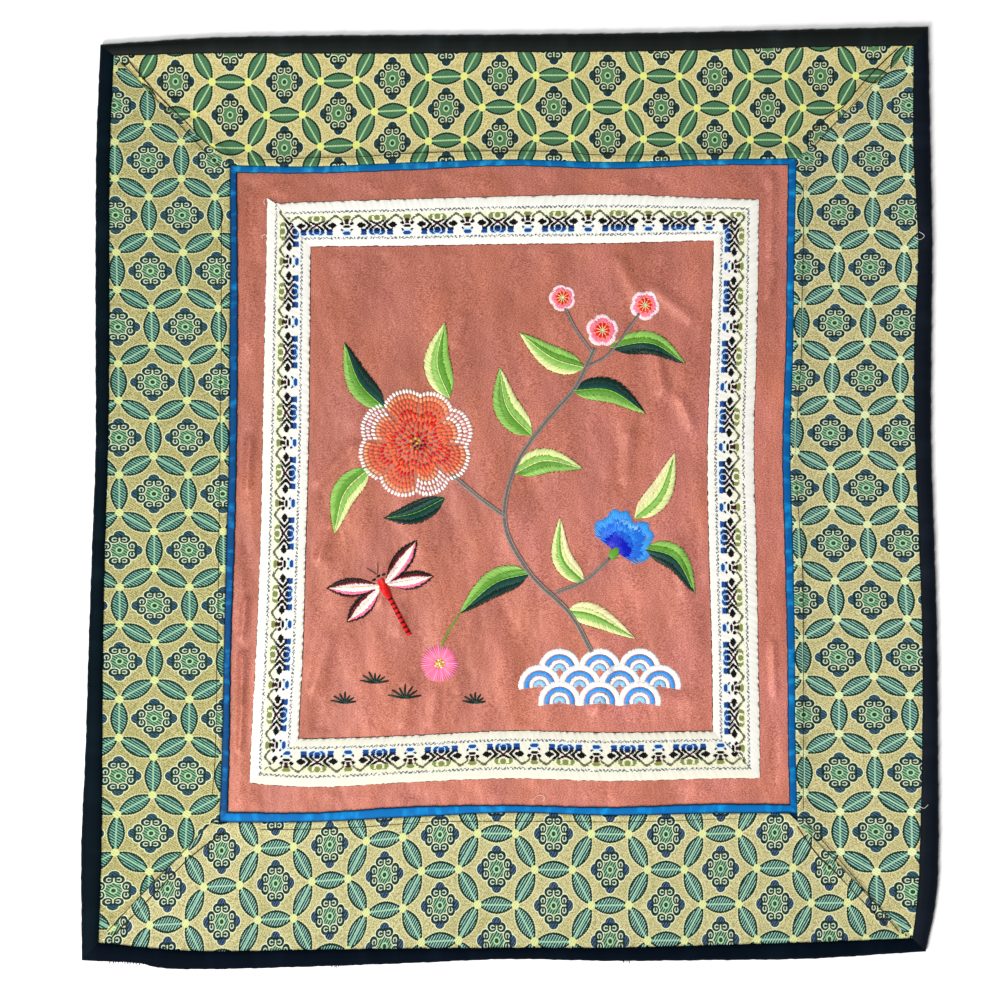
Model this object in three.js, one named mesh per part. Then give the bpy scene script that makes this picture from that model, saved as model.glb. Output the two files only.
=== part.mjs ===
// An embroidered silk panel, lying flat and face up. A rose satin field carries a woven ribbon
// frame. Flat piping edges the field, four mitred brocade borders surround it, and a black satin
// binding is folded over the rim. Millimetres, +Z up: X runs to the right across the panel, Y
// runs towards its top edge, and the origin is on the underside in the middle of the outline.

import * as THREE from 'three';

// Thicknesses of the cloths, and the air left between two of them
const CLOTH = 1.2;
const TRIM = 1.0;
const BINDING_WALL = 1.0;
const GAP = 0.3;
const MITRE_GAP = 0.25;

// Heights of the layers above the surface that the panel lies on
const TRIM_FOOT = CLOTH + GAP;
const TRIM_TOP = TRIM_FOOT + TRIM;
const SLOT_FLOOR = BINDING_WALL;
const SLOT_CLOTH = SLOT_FLOOR + GAP;
const SLOT_CLOTH_TOP = SLOT_CLOTH + CLOTH;
const SLOT_ROOF = SLOT_CLOTH_TOP + GAP;
const BINDING_TOP = SLOT_ROOF + BINDING_WALL;

// How far each fold and turn reaches across the panel
const RIM_WALL = 1.2;
const RIM_ROUND = 0.9;
const RIM_CHAMFER = 0.25;
const FOLD_ROUND = 0.35;
const RISE_FOOT = 7;
const RISE_TOP = 0.8;
const TRIM_ROUND = 0.35;

// Stations along each border strip, and cells across the field inside its ribbon
const STRIP_STATIONS = 22;
const TRIM_STATIONS = 20;
const FIELD_CELLS_X = 28;
const FIELD_CELLS_Y = 34;

// At the top left the left ribbon's end stands out as a small point, and the top ribbon's edge
// starts short of it
const RIBBON_POINT = 2.4;
const RIBBON_NOTCH = 3.4;

// A table's rows as objects with named values
function table(columns, rows) {
  return rows.map((row) => Object.fromEntries(columns.map((name, k) => [name, row[k]])));
}

// Where each seam lies, measured at stations along the four sides. A station and a seam are X
// and Y on the top and bottom sides, and Y and X on the left and right ones.
//   rim: outer edge          fold: inner edge of the binding
//   pipeOuter, pipeInner: edges of the piping
//   ribbonOuter, ribbonInner: edges of the ribbon
const SEAM_COLUMNS = ['at', 'rim', 'fold', 'pipeOuter', 'pipeInner', 'ribbonOuter', 'ribbonInner'];

const SEAMS = {
  top: table(SEAM_COLUMNS, [
    [-160, 181.4, 176.4, 132.8, 129.4, 115.4, 98.9],
    [-120, 183.9, 177.4, 133.2, 129.9, 116.6, 99.8],
    [-80, 184.7, 177.4, 132.6, 129.6, 118.1, 100.6],
    [-40, 185.0, 177.3, 134.2, 130.9, 119.3, 100.9],
    [0, 185.2, 177.9, 135.4, 132.6, 120.4, 101.6],
    [40, 185.6, 178.0, 134.4, 131.4, 121.1, 101.9],
    [80, 186.3, 178.8, 135.4, 132.8, 119.8, 103.0],
    [120, 187.3, 179.9, 135.9, 132.9, 118.6, 103.6],
    [160, 188.2, 180.4, 136.2, 133.0, 118.0, 104.0],
  ]),
  bottom: table(SEAM_COLUMNS, [
    [-160, -185.2, -177.8, -129.8, -125.0, -111.0, -96.0],
    [-148, -185.8, -179.0, -129.7, -125.1, -111.3, -96.0],
    [-140, -187.7, -179.8, -129.7, -125.1, -111.6, -96.0],
    [-120, -188.2, -180.8, -129.6, -125.2, -112.4, -96.0],
    [-80, -187.2, -180.2, -129.4, -125.6, -115.3, -96.2],
    [-40, -185.8, -179.7, -127.5, -123.2, -113.4, -95.0],
    [0, -184.2, -179.4, -125.7, -122.6, -111.9, -93.1],
    [40, -184.9, -179.4, -126.8, -123.4, -112.9, -93.8],
    [80, -184.6, -178.4, -126.0, -122.1, -112.0, -93.2],
    [120, -184.0, -177.2, -125.9, -122.4, -111.7, -93.0],
    [160, -181.5, -175.6, -125.8, -122.6, -111.6, -92.8],
  ]),
  left: table(SEAM_COLUMNS, [
    [-180, -171.0, -164.2, -116.9, -113.6, -105.0, -86.2],
    [-140, -171.2, -162.9, -116.3, -113.0, -104.4, -85.8],
    [-100, -169.5, -162.6, -115.0, -111.9, -103.3, -84.7],
    [-60, -168.3, -162.3, -114.2, -111.3, -101.2, -82.7],
    [-20, -166.9, -161.5, -113.3, -109.9, -99.6, -81.6],
    [20, -165.5, -160.3, -112.2, -109.0, -98.7, -80.5],
    [60, -165.5, -159.8, -112.0, -108.6, -98.0, -80.0],
    [100, -165.5, -159.8, -111.7, -108.7, -97.1, -79.7],
    [140, -165.2, -159.5, -111.9, -109.1, -96.7, -79.4],
    [180, -163.6, -157.9, -112.1, -109.4, -96.3, -79.1],
  ]),
  right: table(SEAM_COLUMNS, [
    [-180, 166.4, 160.0, 115.9, 112.5, 100.1, 81.6],
    [-160, 170.3, 162.6, 115.7, 112.3, 100.0, 81.5],
    [-140, 171.3, 163.6, 115.4, 112.1, 99.9, 81.4],
    [-100, 171.1, 164.5, 114.3, 111.1, 99.7, 81.3],
    [-60, 170.8, 164.6, 114.0, 110.7, 99.1, 80.8],
    [-20, 169.7, 163.4, 113.3, 109.7, 98.4, 79.7],
    [20, 168.4, 161.7, 112.2, 108.8, 97.4, 79.1],
    [60, 168.4, 161.3, 113.3, 110.1, 98.5, 80.3],
    [100, 168.8, 162.9, 113.9, 110.6, 99.2, 81.5],
    [140, 168.1, 161.0, 114.8, 111.1, 99.7, 81.9],
    [180, 167.3, 161.1, 115.4, 111.5, 100.0, 82.2],
  ]),
};

// Soft creases of the satin: each runs straight from one point to another, then fades out
const CREASE_COLUMNS = ['x0', 'y0', 'x1', 'y1', 'height', 'halfWidth'];

const CREASES = table(CREASE_COLUMNS, [
  [57.7, 84.0, 72.5, 72.0, 0.8, 4.5],
  [58.1, 59.6, 61.3, 43.6, 0.9, 3.8],
  [68.1, 40.0, 72.5, 29.6, 0.6, 3.5],
  [47.7, 25.2, 46.9, 8.4, 0.7, 3.8],
  [44.5, 94.4, 52.1, 79.2, 0.7, 5.0],
  [-62.7, 20.8, -76.0, 6.0, 0.7, 4.0],
  [-71.5, -10.8, -75.9, -23.2, 0.8, 3.5],
  [-47.9, -28.4, -51.5, -40.8, 0.9, 3.5],
  [-43.5, -44.4, -44.3, -52.8, 0.6, 3.5],
  [-39.9, -74.4, -41.9, -90.0, 0.7, 4.0],
  [-29.5, -77.6, -31.1, -90.0, 0.5, 3.5],
  [-72.0, -57.0, -78.0, -75.0, 0.8, 6.0],
  [39.3, -69.6, 34.9, -84.0, 1.0, 3.5],
  [67.3, -18.0, 70.1, -37.2, 0.6, 4.0],
  [52.0, -77.0, 72.0, -81.0, 0.7, 6.0],
  [-18.7, 72.0, -21.1, 62.4, 0.5, 3.5],
  [-105.9, 82.4, -106.0, 61.2, 0.7, 3.0],
  [-103.5, 22.4, -105.5, 4.8, 0.6, 3.0],
  [-105.1, -40.8, -107.0, -54.8, 0.8, 2.5],
  [-107.0, -62.8, -106.7, -80.8, 0.9, 2.5],
  [-106.5, -82.8, -107.9, -100.0, 0.9, 2.5],
  [104.9, 128.0, 104.3, 97.0, 0.5, 2.5],
  [106.0, 92.0, 103.0, 80.8, 0.7, 3.0],
  [105.1, -58.4, 106.2, -77.6, 0.6, 2.5],
]);

// The ribbon and the piping hold the satin flat within this distance of their edges
const SEWN_DOWN = 1.5;
const RELEASED = 5.0;

const AROUND = {
  top: { along: 0, sign: 1, startsAt: 'left', endsAt: 'right' },
  bottom: { along: 0, sign: -1, startsAt: 'left', endsAt: 'right' },
  left: { along: 1, sign: -1, startsAt: 'bottom', endsAt: 'top' },
  right: { along: 1, sign: 1, startsAt: 'bottom', endsAt: 'top' },
};

// A seam's place across its side at a point along it: a smooth curve through the stations
function seamAt(side, column, along) {
  const rows = SEAMS[side];
  const slope = (k) => {
    const before = rows[Math.max(k - 1, 0)];
    const after = rows[Math.min(k + 1, rows.length - 1)];
    return (after[column] - before[column]) / (after.at - before.at);
  };
  let k = 0;
  while (k < rows.length - 2 && along > rows[k + 1].at) k += 1;
  const from = rows[k];
  const to = rows[k + 1];
  const length = to.at - from.at;
  const t = (along - from.at) / length;
  if (t < 0) return from[column] + slope(k) * t * length;
  if (t > 1) return to[column] + slope(k + 1) * (t - 1) * length;
  const rise = t * t * (3 - 2 * t);
  const leave = t * (1 - t) * (1 - t) * length * slope(k);
  const arrive = t * t * (t - 1) * length * slope(k + 1);
  return from[column] * (1 - rise) + to[column] * rise + leave + arrive;
}

// A line parallel to a seam is given as its column and a shift away from the panel's middle.
// Half-way columns are a mix of two.
function lineAt(side, line, along) {
  const shift = line.shift * AROUND[side].sign;
  if (!line.towards) return seamAt(side, line.column, along) + shift;
  const near = seamAt(side, line.column, along);
  const far = seamAt(side, line.towards, along);
  return near + (far - near) * line.share + shift;
}

// Where a line on a top or bottom side meets a line on a left or right one
function crossing(levelSide, levelLine, uprightSide, uprightLine) {
  let x = lineAt(uprightSide, uprightLine, 0);
  let y = 0;
  for (let turn = 0; turn < 8; turn += 1) {
    y = lineAt(levelSide, levelLine, x);
    x = lineAt(uprightSide, uprightLine, y);
  }
  return [x, y];
}

function corner(side, other, line) {
  const level = AROUND[side].along === 0 ? side : other;
  const upright = AROUND[side].along === 0 ? other : side;
  return crossing(level, line, upright, line);
}

// Turns every face outwards and gives the closed shell flat normals
function closedGeometry(points, faces) {
  let volume = 0;
  for (const [a, b, c] of faces) {
    const cross = new THREE.Vector3().crossVectors(points[b], points[c]);
    volume += points[a].dot(cross);
  }
  const outward = volume > 0 ? faces : faces.map(([a, b, c]) => [a, c, b]);
  const geometry = new THREE.BufferGeometry().setFromPoints(points);
  geometry.setIndex(outward.flat());
  geometry.computeVertexNormals();
  return geometry;
}

// One border strip: a closed cross-section carried along its side between two mitres. ends
// moves the outer edge's two ends along the side, away from its middle.
function stripGeometry(side, section, stations, ends = { column: '', start: 0, end: 0 }) {
  const { along, startsAt, endsAt } = AROUND[side];
  const points = [];
  for (let s = 0; s <= stations; s += 1) {
    for (const seam of section) {
      const moved = seam.column === ends.column;
      const start = corner(side, startsAt, seam)[along] + MITRE_GAP - (moved ? ends.start : 0);
      const end = corner(side, endsAt, seam)[along] - MITRE_GAP + (moved ? ends.end : 0);
      const place = start + (end - start) * (s / stations);
      const across = lineAt(side, seam, place);
      const [x, y] = along === 0 ? [place, across] : [across, place];
      points.push(new THREE.Vector3(x, y, seam.z));
    }
  }
  const count = section.length;
  const faces = [];
  for (let s = 0; s < stations; s += 1) {
    for (let k = 0; k < count; k += 1) {
      const a = s * count + k;
      const b = s * count + ((k + 1) % count);
      faces.push([a, b, b + count], [a, b + count, a + count]);
    }
  }
  const last = stations * count;
  const outline = points.slice(0, count).map((p) => new THREE.Vector2(along === 0 ? p.y : p.x, p.z));
  for (const [a, b, c] of capTriangles(outline)) {
    faces.push([a, c, b], [a + last, b + last, c + last]);
  }
  return closedGeometry(points, faces);
}

// The triangles of a flat cap, each wound the way that its outline runs
function capTriangles(outline) {
  const triangles = THREE.ShapeUtils.triangulateShape(outline, []);
  return triangles.map((triangle) => triangle.sort((a, b) => a - b));
}

const seamLine = (column, shift, z) => ({ column, shift, z });
const middle = (z) => ({ column: 'pipeInner', towards: 'pipeOuter', share: 0.5, shift: 0, z });

function bindingSection() {
  return [
    seamLine('fold', 0, 0),
    seamLine('rim', -RIM_ROUND, 0),
    seamLine('rim', -RIM_CHAMFER, RIM_CHAMFER),
    seamLine('rim', 0, RIM_ROUND),
    seamLine('rim', 0, BINDING_TOP - RIM_ROUND),
    seamLine('rim', -RIM_CHAMFER, BINDING_TOP - RIM_CHAMFER),
    seamLine('rim', -RIM_ROUND, BINDING_TOP),
    seamLine('fold', FOLD_ROUND, BINDING_TOP),
    seamLine('fold', 0, BINDING_TOP - FOLD_ROUND),
    seamLine('fold', 0, SLOT_ROOF),
    seamLine('rim', -RIM_WALL, SLOT_ROOF),
    seamLine('rim', -RIM_WALL, SLOT_FLOOR),
    seamLine('fold', 0, SLOT_FLOOR),
  ];
}

function brocadeSection() {
  const inner = (z) => ({ ...middle(z), shift: GAP / 2 });
  return [
    inner(0),
    seamLine('fold', -RISE_FOOT, 0),
    seamLine('fold', -RISE_TOP, SLOT_CLOTH),
    seamLine('rim', -RIM_WALL - GAP, SLOT_CLOTH),
    seamLine('rim', -RIM_WALL - GAP, SLOT_CLOTH_TOP),
    seamLine('fold', -RISE_TOP, SLOT_CLOTH_TOP),
    seamLine('fold', -RISE_FOOT, CLOTH),
    inner(CLOTH),
  ];
}

function trimSection(outer, inner) {
  return [
    seamLine(inner, 0, TRIM_FOOT),
    seamLine(outer, 0, TRIM_FOOT),
    seamLine(outer, 0, TRIM_TOP - TRIM_ROUND),
    seamLine(outer, -TRIM_ROUND, TRIM_TOP),
    seamLine(inner, TRIM_ROUND, TRIM_TOP),
    seamLine(inner, 0, TRIM_TOP - TRIM_ROUND),
  ];
}

// The grid lines of the field: from the joint under the piping, across the margin and under the
// ribbon, then evenly over the middle
function fieldLines(nearSide, farSide, cells) {
  const margin = [
    { ...middle(0), shift: -GAP / 2 },
    seamLine('pipeInner', 0, 0),
    { column: 'pipeInner', towards: 'ribbonOuter', share: 0.33, shift: 0 },
    { column: 'pipeInner', towards: 'ribbonOuter', share: 0.67, shift: 0 },
    seamLine('ribbonOuter', 0, 0),
    { column: 'ribbonOuter', towards: 'ribbonInner', share: 0.5, shift: 0 },
  ];
  const inner = seamLine('ribbonInner', 0, 0);
  const near = margin.map((m) => (along) => lineAt(nearSide, m, along));
  const far = margin.map((m) => (along) => lineAt(farSide, m, along)).reverse();
  const between = [];
  for (let k = 0; k <= cells; k += 1) {
    between.push((along) => {
      const low = lineAt(nearSide, inner, along);
      const high = lineAt(farSide, inner, along);
      return low + (high - low) * (k / cells);
    });
  }
  return [...near, ...between, ...far];
}

// How freely the satin moves at a point: none where a trim is sewn over it, all of it away
// from the seams
function freedom(x, y) {
  const past = (column) => Math.max(
    y - seamAt('top', column, x),
    seamAt('bottom', column, x) - y,
    x - seamAt('right', column, y),
    seamAt('left', column, y) - x,
  );
  const fromRibbon = Math.max(past('ribbonOuter'), -past('ribbonInner'));
  const clearance = Math.min(fromRibbon, -past('pipeInner'));
  return THREE.MathUtils.smoothstep(clearance, SEWN_DOWN, RELEASED);
}

function creaseHeight(x, y) {
  const spot = new THREE.Vector2(x, y);
  let height = 0;
  for (const crease of CREASES) {
    const start = new THREE.Vector2(crease.x0, crease.y0);
    const run = new THREE.Vector2(crease.x1, crease.y1).sub(start);
    const share = THREE.MathUtils.clamp(spot.clone().sub(start).dot(run) / run.lengthSq(), 0, 1);
    const distance = spot.distanceTo(start.add(run.multiplyScalar(share)));
    height += crease.height * Math.exp(-((distance / crease.halfWidth) ** 2));
  }
  return height * freedom(x, y);
}

// The field is flat underneath and creased on top
function fieldGeometry() {
  const xLines = fieldLines('left', 'right', FIELD_CELLS_X);
  const yLines = fieldLines('bottom', 'top', FIELD_CELLS_Y);
  const columns = xLines.length;
  const rows = yLines.length;
  const points = [];
  for (const yLine of yLines) {
    for (const xLine of xLines) {
      let x = xLine(0);
      let y = 0;
      for (let turn = 0; turn < 8; turn += 1) {
        y = yLine(x);
        x = xLine(y);
      }
      points.push(new THREE.Vector3(x, y, CLOTH + creaseHeight(x, y)));
    }
  }
  const at = (row, column) => row * columns + column;
  const faces = [];
  for (let r = 0; r < rows - 1; r += 1) {
    for (let c = 0; c < columns - 1; c += 1) {
      faces.push([at(r, c), at(r, c + 1), at(r + 1, c + 1)], [at(r, c), at(r + 1, c + 1), at(r + 1, c)]);
    }
  }
  const rim = [];
  for (let c = 0; c < columns - 1; c += 1) rim.push(at(0, c));
  for (let r = 0; r < rows - 1; r += 1) rim.push(at(r, columns - 1));
  for (let c = columns - 1; c > 0; c -= 1) rim.push(at(rows - 1, c));
  for (let r = rows - 1; r > 0; r -= 1) rim.push(at(r, 0));
  const below = points.length;
  for (const k of rim) points.push(new THREE.Vector3(points[k].x, points[k].y, 0));
  rim.forEach((upper, k) => {
    const next = (k + 1) % rim.length;
    faces.push([upper, below + k, below + next], [upper, below + next, rim[next]]);
  });
  const outline = rim.map((k) => new THREE.Vector2(points[k].x, points[k].y));
  for (const [a, b, c] of capTriangles(outline)) {
    faces.push([below + a, below + c, below + b]);
  }
  return closedGeometry(points, faces);
}

const RIBBON_ENDS = {
  left: { column: 'ribbonOuter', start: 0, end: RIBBON_POINT },
  top: { column: 'ribbonOuter', start: -RIBBON_NOTCH, end: 0 },
};

const MATERIALS = {
  satin: { color: '#c87864', roughness: 0.5 },
  brocade: { color: '#7f9f72', roughness: 0.75 },
  piping: { color: '#1272c0', roughness: 0.35 },
  ribbon: { color: '#f4f2e8', roughness: 0.7 },
  binding: { color: '#131a1d', roughness: 0.5 },
};

function piece(name, geometry, look) {
  const { color, roughness } = MATERIALS[look];
  const mesh = new THREE.Mesh(geometry, new THREE.MeshStandardMaterial({ color, roughness }));
  mesh.name = name;
  return mesh;
}

const panel = new THREE.Group();
panel.add(piece('field', fieldGeometry(), 'satin'));

for (const side of Object.keys(AROUND)) {
  const piping = trimSection('pipeOuter', 'pipeInner');
  const ribbon = trimSection('ribbonOuter', 'ribbonInner');
  const shapes = {
    brocade: stripGeometry(side, brocadeSection(), STRIP_STATIONS),
    piping: stripGeometry(side, piping, TRIM_STATIONS),
    ribbon: stripGeometry(side, ribbon, TRIM_STATIONS, RIBBON_ENDS[side]),
    binding: stripGeometry(side, bindingSection(), STRIP_STATIONS),
  };
  for (const [look, geometry] of Object.entries(shapes)) {
    panel.add(piece(`${look}_${side}`, geometry, look));
  }
}

export default panel;
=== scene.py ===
# An embroidered silk panel lying flat and face up, seen from straight above.
# Tables hold millimetres, as the cloth was measured; MM turns them to metres.

import math

import bpy
import numpy as np
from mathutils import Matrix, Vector


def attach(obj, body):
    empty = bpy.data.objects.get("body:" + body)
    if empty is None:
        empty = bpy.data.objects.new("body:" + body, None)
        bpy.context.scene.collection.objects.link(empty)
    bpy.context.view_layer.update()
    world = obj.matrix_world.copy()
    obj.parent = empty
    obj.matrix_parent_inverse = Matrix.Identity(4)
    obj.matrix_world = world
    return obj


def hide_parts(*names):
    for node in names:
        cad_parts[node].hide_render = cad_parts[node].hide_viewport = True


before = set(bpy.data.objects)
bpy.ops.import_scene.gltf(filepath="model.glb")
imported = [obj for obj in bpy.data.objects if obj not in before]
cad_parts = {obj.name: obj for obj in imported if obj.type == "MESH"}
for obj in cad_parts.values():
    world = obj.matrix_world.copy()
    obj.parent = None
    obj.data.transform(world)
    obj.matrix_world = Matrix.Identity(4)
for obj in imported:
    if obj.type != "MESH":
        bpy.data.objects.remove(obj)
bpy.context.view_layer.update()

MM = 0.001
SIDES = ("top", "bottom", "left", "right")
LEVEL = {side: side in ("top", "bottom") for side in SIDES}
OUTWARD = {"top": 1, "bottom": -1, "left": -1, "right": 1}
ENDS = {"top": ("left", "right"), "bottom": ("left", "right"),
        "left": ("bottom", "top"), "right": ("bottom", "top")}

# Heights in millimetres above the surface that the panel lies on
UNDERSIDE = 0.05
FIELD_TOP = 1.2
RIBBON_UNDERSIDE = 1.25
RIBBON_TOP = 1.92
TOPSTITCH_BASE = 2.1
MITRE_BASE = 2.0
FRAY_BASE = 1.6

# Where each seam lies, at stations along the four sides, as X and Y of the panel in millimetres.
SEAM_COLUMNS = ("at", "rim", "fold", "pipe_outer", "pipe_inner", "ribbon_outer", "ribbon_inner")
SEAMS = {
    "top": (
        (-160, 181.4, 176.4, 132.8, 129.4, 115.4, 98.9),
        (-120, 183.9, 177.4, 133.2, 129.9, 116.6, 99.8),
        (-80, 184.7, 177.4, 132.6, 129.6, 118.1, 100.6),
        (-40, 185.0, 177.3, 134.2, 130.9, 119.3, 100.9),
        (0, 185.2, 177.9, 135.4, 132.6, 120.4, 101.6),
        (40, 185.6, 178.0, 134.4, 131.4, 121.1, 101.9),
        (80, 186.3, 178.8, 135.4, 132.8, 119.8, 103.0),
        (120, 187.3, 179.9, 135.9, 132.9, 118.6, 103.6),
        (160, 188.2, 180.4, 136.2, 133.0, 118.0, 104.0),
    ),
    "bottom": (
        (-160, -185.2, -177.8, -129.8, -125.0, -111.0, -96.0),
        (-148, -185.8, -179.0, -129.7, -125.1, -111.3, -96.0),
        (-140, -187.7, -179.8, -129.7, -125.1, -111.6, -96.0),
        (-120, -188.2, -180.8, -129.6, -125.2, -112.4, -96.0),
        (-80, -187.2, -180.2, -129.4, -125.6, -115.3, -96.2),
        (-40, -185.8, -179.7, -127.5, -123.2, -113.4, -95.0),
        (0, -184.2, -179.4, -125.7, -122.6, -111.9, -93.1),
        (40, -184.9, -179.4, -126.8, -123.4, -112.9, -93.8),
        (80, -184.6, -178.4, -126.0, -122.1, -112.0, -93.2),
        (120, -184.0, -177.2, -125.9, -122.4, -111.7, -93.0),
        (160, -181.5, -175.6, -125.8, -122.6, -111.6, -92.8),
    ),
    "left": (
        (-180, -171.0, -164.2, -116.9, -113.6, -105.0, -86.2),
        (-140, -171.2, -162.9, -116.3, -113.0, -104.4, -85.8),
        (-100, -169.5, -162.6, -115.0, -111.9, -103.3, -84.7),
        (-60, -168.3, -162.3, -114.2, -111.3, -101.2, -82.7),
        (-20, -166.9, -161.5, -113.3, -109.9, -99.6, -81.6),
        (20, -165.5, -160.3, -112.2, -109.0, -98.7, -80.5),
        (60, -165.5, -159.8, -112.0, -108.6, -98.0, -80.0),
        (100, -165.5, -159.8, -111.7, -108.7, -97.1, -79.7),
        (140, -165.2, -159.5, -111.9, -109.1, -96.7, -79.4),
        (180, -163.6, -157.9, -112.1, -109.4, -96.3, -79.1),
    ),
    "right": (
        (-180, 166.4, 160.0, 115.9, 112.5, 100.1, 81.6),
        (-160, 170.3, 162.6, 115.7, 112.3, 100.0, 81.5),
        (-140, 171.3, 163.6, 115.4, 112.1, 99.9, 81.4),
        (-100, 171.1, 164.5, 114.3, 111.1, 99.7, 81.3),
        (-60, 170.8, 164.6, 114.0, 110.7, 99.1, 80.8),
        (-20, 169.7, 163.4, 113.3, 109.7, 98.4, 79.7),
        (20, 168.4, 161.7, 112.2, 108.8, 97.4, 79.1),
        (60, 168.4, 161.3, 113.3, 110.1, 98.5, 80.3),
        (100, 168.8, 162.9, 113.9, 110.6, 99.2, 81.5),
        (140, 168.1, 161.0, 114.8, 111.1, 99.7, 81.9),
        (180, 167.3, 161.1, 115.4, 111.5, 100.0, 82.2),
    ),
}

# The brocade's repeat: rung counts its medallions along a strip, line is where the row nearest
# the piping lies across it, and pitch is the distance from that row to the next.
GRAIN_COLUMNS = ("at", "rung", "line", "pitch")
GRAIN = {
    "top": (
        (-133.5, -2, 140.2, 26.2),
        (-90.0, 0, 139.9, 26.3),
        (-3.9, 4, 143.6, 25.2),
        (81.9, 8, 143.1, 25.3),
        (124.1, 10, 143.2, 25.4),
    ),
    "bottom": (
        (-115.1, 0, -140.8, 28.4),
        (-71.9, 2, -138.4, 28.6),
        (-27.9, 4, -134.4, 28.3),
        (17.5, 6, -134.1, 28.7),
        (62.4, 8, -134.3, 28.2),
        (105.9, 10, -133.6, 28.4),
    ),
    "left": (
        (-156.8, 12, -130.3, 28.0),
        (-111.0, 10, -128.5, 27.9),
        (-65.2, 8, -127.9, 28.0),
        (-20.8, 6, -128.1, 27.8),
        (24.2, 4, -128.7, 27.4),
        (68.4, 2, -129.6, 26.9),
        (113.0, 0, -130.9, 26.5),
        (156.8, -2, -131.5, 26.4),
    ),
    "right": (
        (-157.2, 12, 132.3, 28.6),
        (-109.6, 10, 131.7, 28.4),
        (-63.6, 8, 131.2, 28.2),
        (-18.0, 6, 129.3, 27.8),
        (26.0, 4, 128.0, 27.9),
        (70.0, 2, 129.8, 26.6),
        (114.2, 0, 131.4, 26.9),
        (156.8, -2, 132.5, 26.8),
    ),
}

# Soft creases of the satin, each from one point to another, with its height and half width
CREASES = (
    (57.7, 84.0, 72.5, 72.0, 1.1, 2.8),
    (58.1, 59.6, 61.3, 43.6, 1.3, 2.4),
    (68.1, 40.0, 72.5, 29.6, 0.9, 2.2),
    (47.7, 25.2, 46.9, 8.4, 0.9, 2.4),
    (44.5, 94.4, 52.1, 79.2, 0.9, 3.1),
    (-62.7, 20.8, -76.0, 6.0, 0.9, 2.5),
    (-71.5, -10.8, -75.9, -23.2, 1.1, 2.2),
    (-47.9, -28.4, -51.5, -40.8, 1.3, 2.2),
    (-43.5, -44.4, -44.3, -52.8, 0.9, 2.2),
    (-39.9, -74.4, -41.9, -90.0, 0.9, 2.5),
    (-29.5, -77.6, -31.1, -90.0, 0.8, 2.2),
    (-72.0, -57.0, -78.0, -75.0, 1.1, 3.7),
    (39.3, -69.6, 34.9, -84.0, 1.4, 2.2),
    (67.3, -18.0, 70.1, -37.2, 0.9, 2.5),
    (52.0, -77.0, 72.0, -81.0, 0.9, 3.7),
    (-18.7, 72.0, -21.1, 62.4, 0.8, 2.2),
    (-105.9, 82.4, -106.0, 61.2, 0.9, 1.9),
    (-103.5, 22.4, -105.5, 4.8, 0.9, 1.9),
    (-105.1, -40.8, -107.0, -54.8, 1.1, 1.6),
    (-107.0, -62.8, -106.7, -80.8, 1.3, 1.6),
    (-106.5, -82.8, -107.9, -100.0, 1.3, 1.6),
    (104.9, 128.0, 104.3, 97.0, 0.8, 1.6),
    (106.0, 92.0, 103.0, 80.8, 0.9, 1.9),
    (105.1, -58.4, 106.2, -77.6, 0.9, 1.6),
)

# How far from the ribbon and the piping the satin's creases and wrinkles set in and are full
CREASES_FREE = (1.5, 5.0)
WRINKLES_FREE = (0.2, 1.2)

# Waves: rise, radians a millimetre along X and Y, and shift. The swells are the slack between the
# creases, and the sways bend them.
SWAYS = (
    (1.5, 0.0, 0.045, 1.0),
    (0.7, -0.03, 0.11, 0.0),
)
SWELLS = (
    (0.15, 0.14, 0.05, 1.7),
    (0.13, 0.31, 0.04, 0.4),
    (0.1, 0.24, -0.09, 2.1),
    (0.06, 0.52, 0.1, 4.0),
    (0.05, 0.43, -0.16, 5.2),
    (0.08, -0.05, 0.17, 3.1),
)

# Fine wrinkles where the margins of the satin were eased in
WRINKLES = (
    (98.6, 131.0, 98.9, 104.0, 0.16, 0.6),
    (100.6, 132.0, 100.8, 101.0, 0.2, 0.55),
    (102.4, 132.0, 102.8, 96.0, 0.22, 0.55),
    (104.4, 131.0, 104.6, 98.0, 0.2, 0.55),
    (106.8, 130.0, 106.6, 106.0, 0.14, 0.6),
    (-108.6, -36.0, -109.6, -52.0, 0.22, 0.8),
    (-106.2, -30.0, -107.6, -56.0, 0.2, 0.8),
    (-109.4, -70.0, -110.8, -92.0, 0.24, 0.8),
    (106.4, -12.0, 105.2, 10.0, 0.14, 0.8),
    (102.6, -92.0, 104.4, -112.0, 0.18, 0.8),
)


# Curves through the tables

# Passes after which the crossing of two curves no longer moves
SETTLING = 8


def curve(rows, columns, name, at):
    """A smooth curve through one column of a table, straight beyond its ends."""
    stations = np.array([row[0] for row in rows], float)
    values = np.array([row[columns.index(name)] for row in rows], float)
    slopes = np.empty_like(values)
    slopes[1:-1] = (values[2:] - values[:-2]) / (stations[2:] - stations[:-2])
    slopes[0] = (values[1] - values[0]) / (stations[1] - stations[0])
    slopes[-1] = (values[-1] - values[-2]) / (stations[-1] - stations[-2])
    at = np.asarray(at, float)
    inside = np.clip(at, stations[0], stations[-1])
    k = np.clip(np.searchsorted(stations, inside, side="right") - 1, 0, len(stations) - 2)
    length = stations[k + 1] - stations[k]
    t = (inside - stations[k]) / length
    rise = t * t * (3 - 2 * t)
    leave = t * (1 - t) ** 2 * length * slopes[k]
    arrive = t * t * (t - 1) * length * slopes[k + 1]
    beyond = np.where(at < inside, slopes[0], slopes[-1]) * (at - inside)
    return values[k] * (1 - rise) + values[k + 1] * rise + leave + arrive + beyond


def seam(side, name, at):
    return curve(SEAMS[side], SEAM_COLUMNS, name, at)


def grain(side, name, at):
    return curve(GRAIN[side], GRAIN_COLUMNS, name, at)


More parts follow.
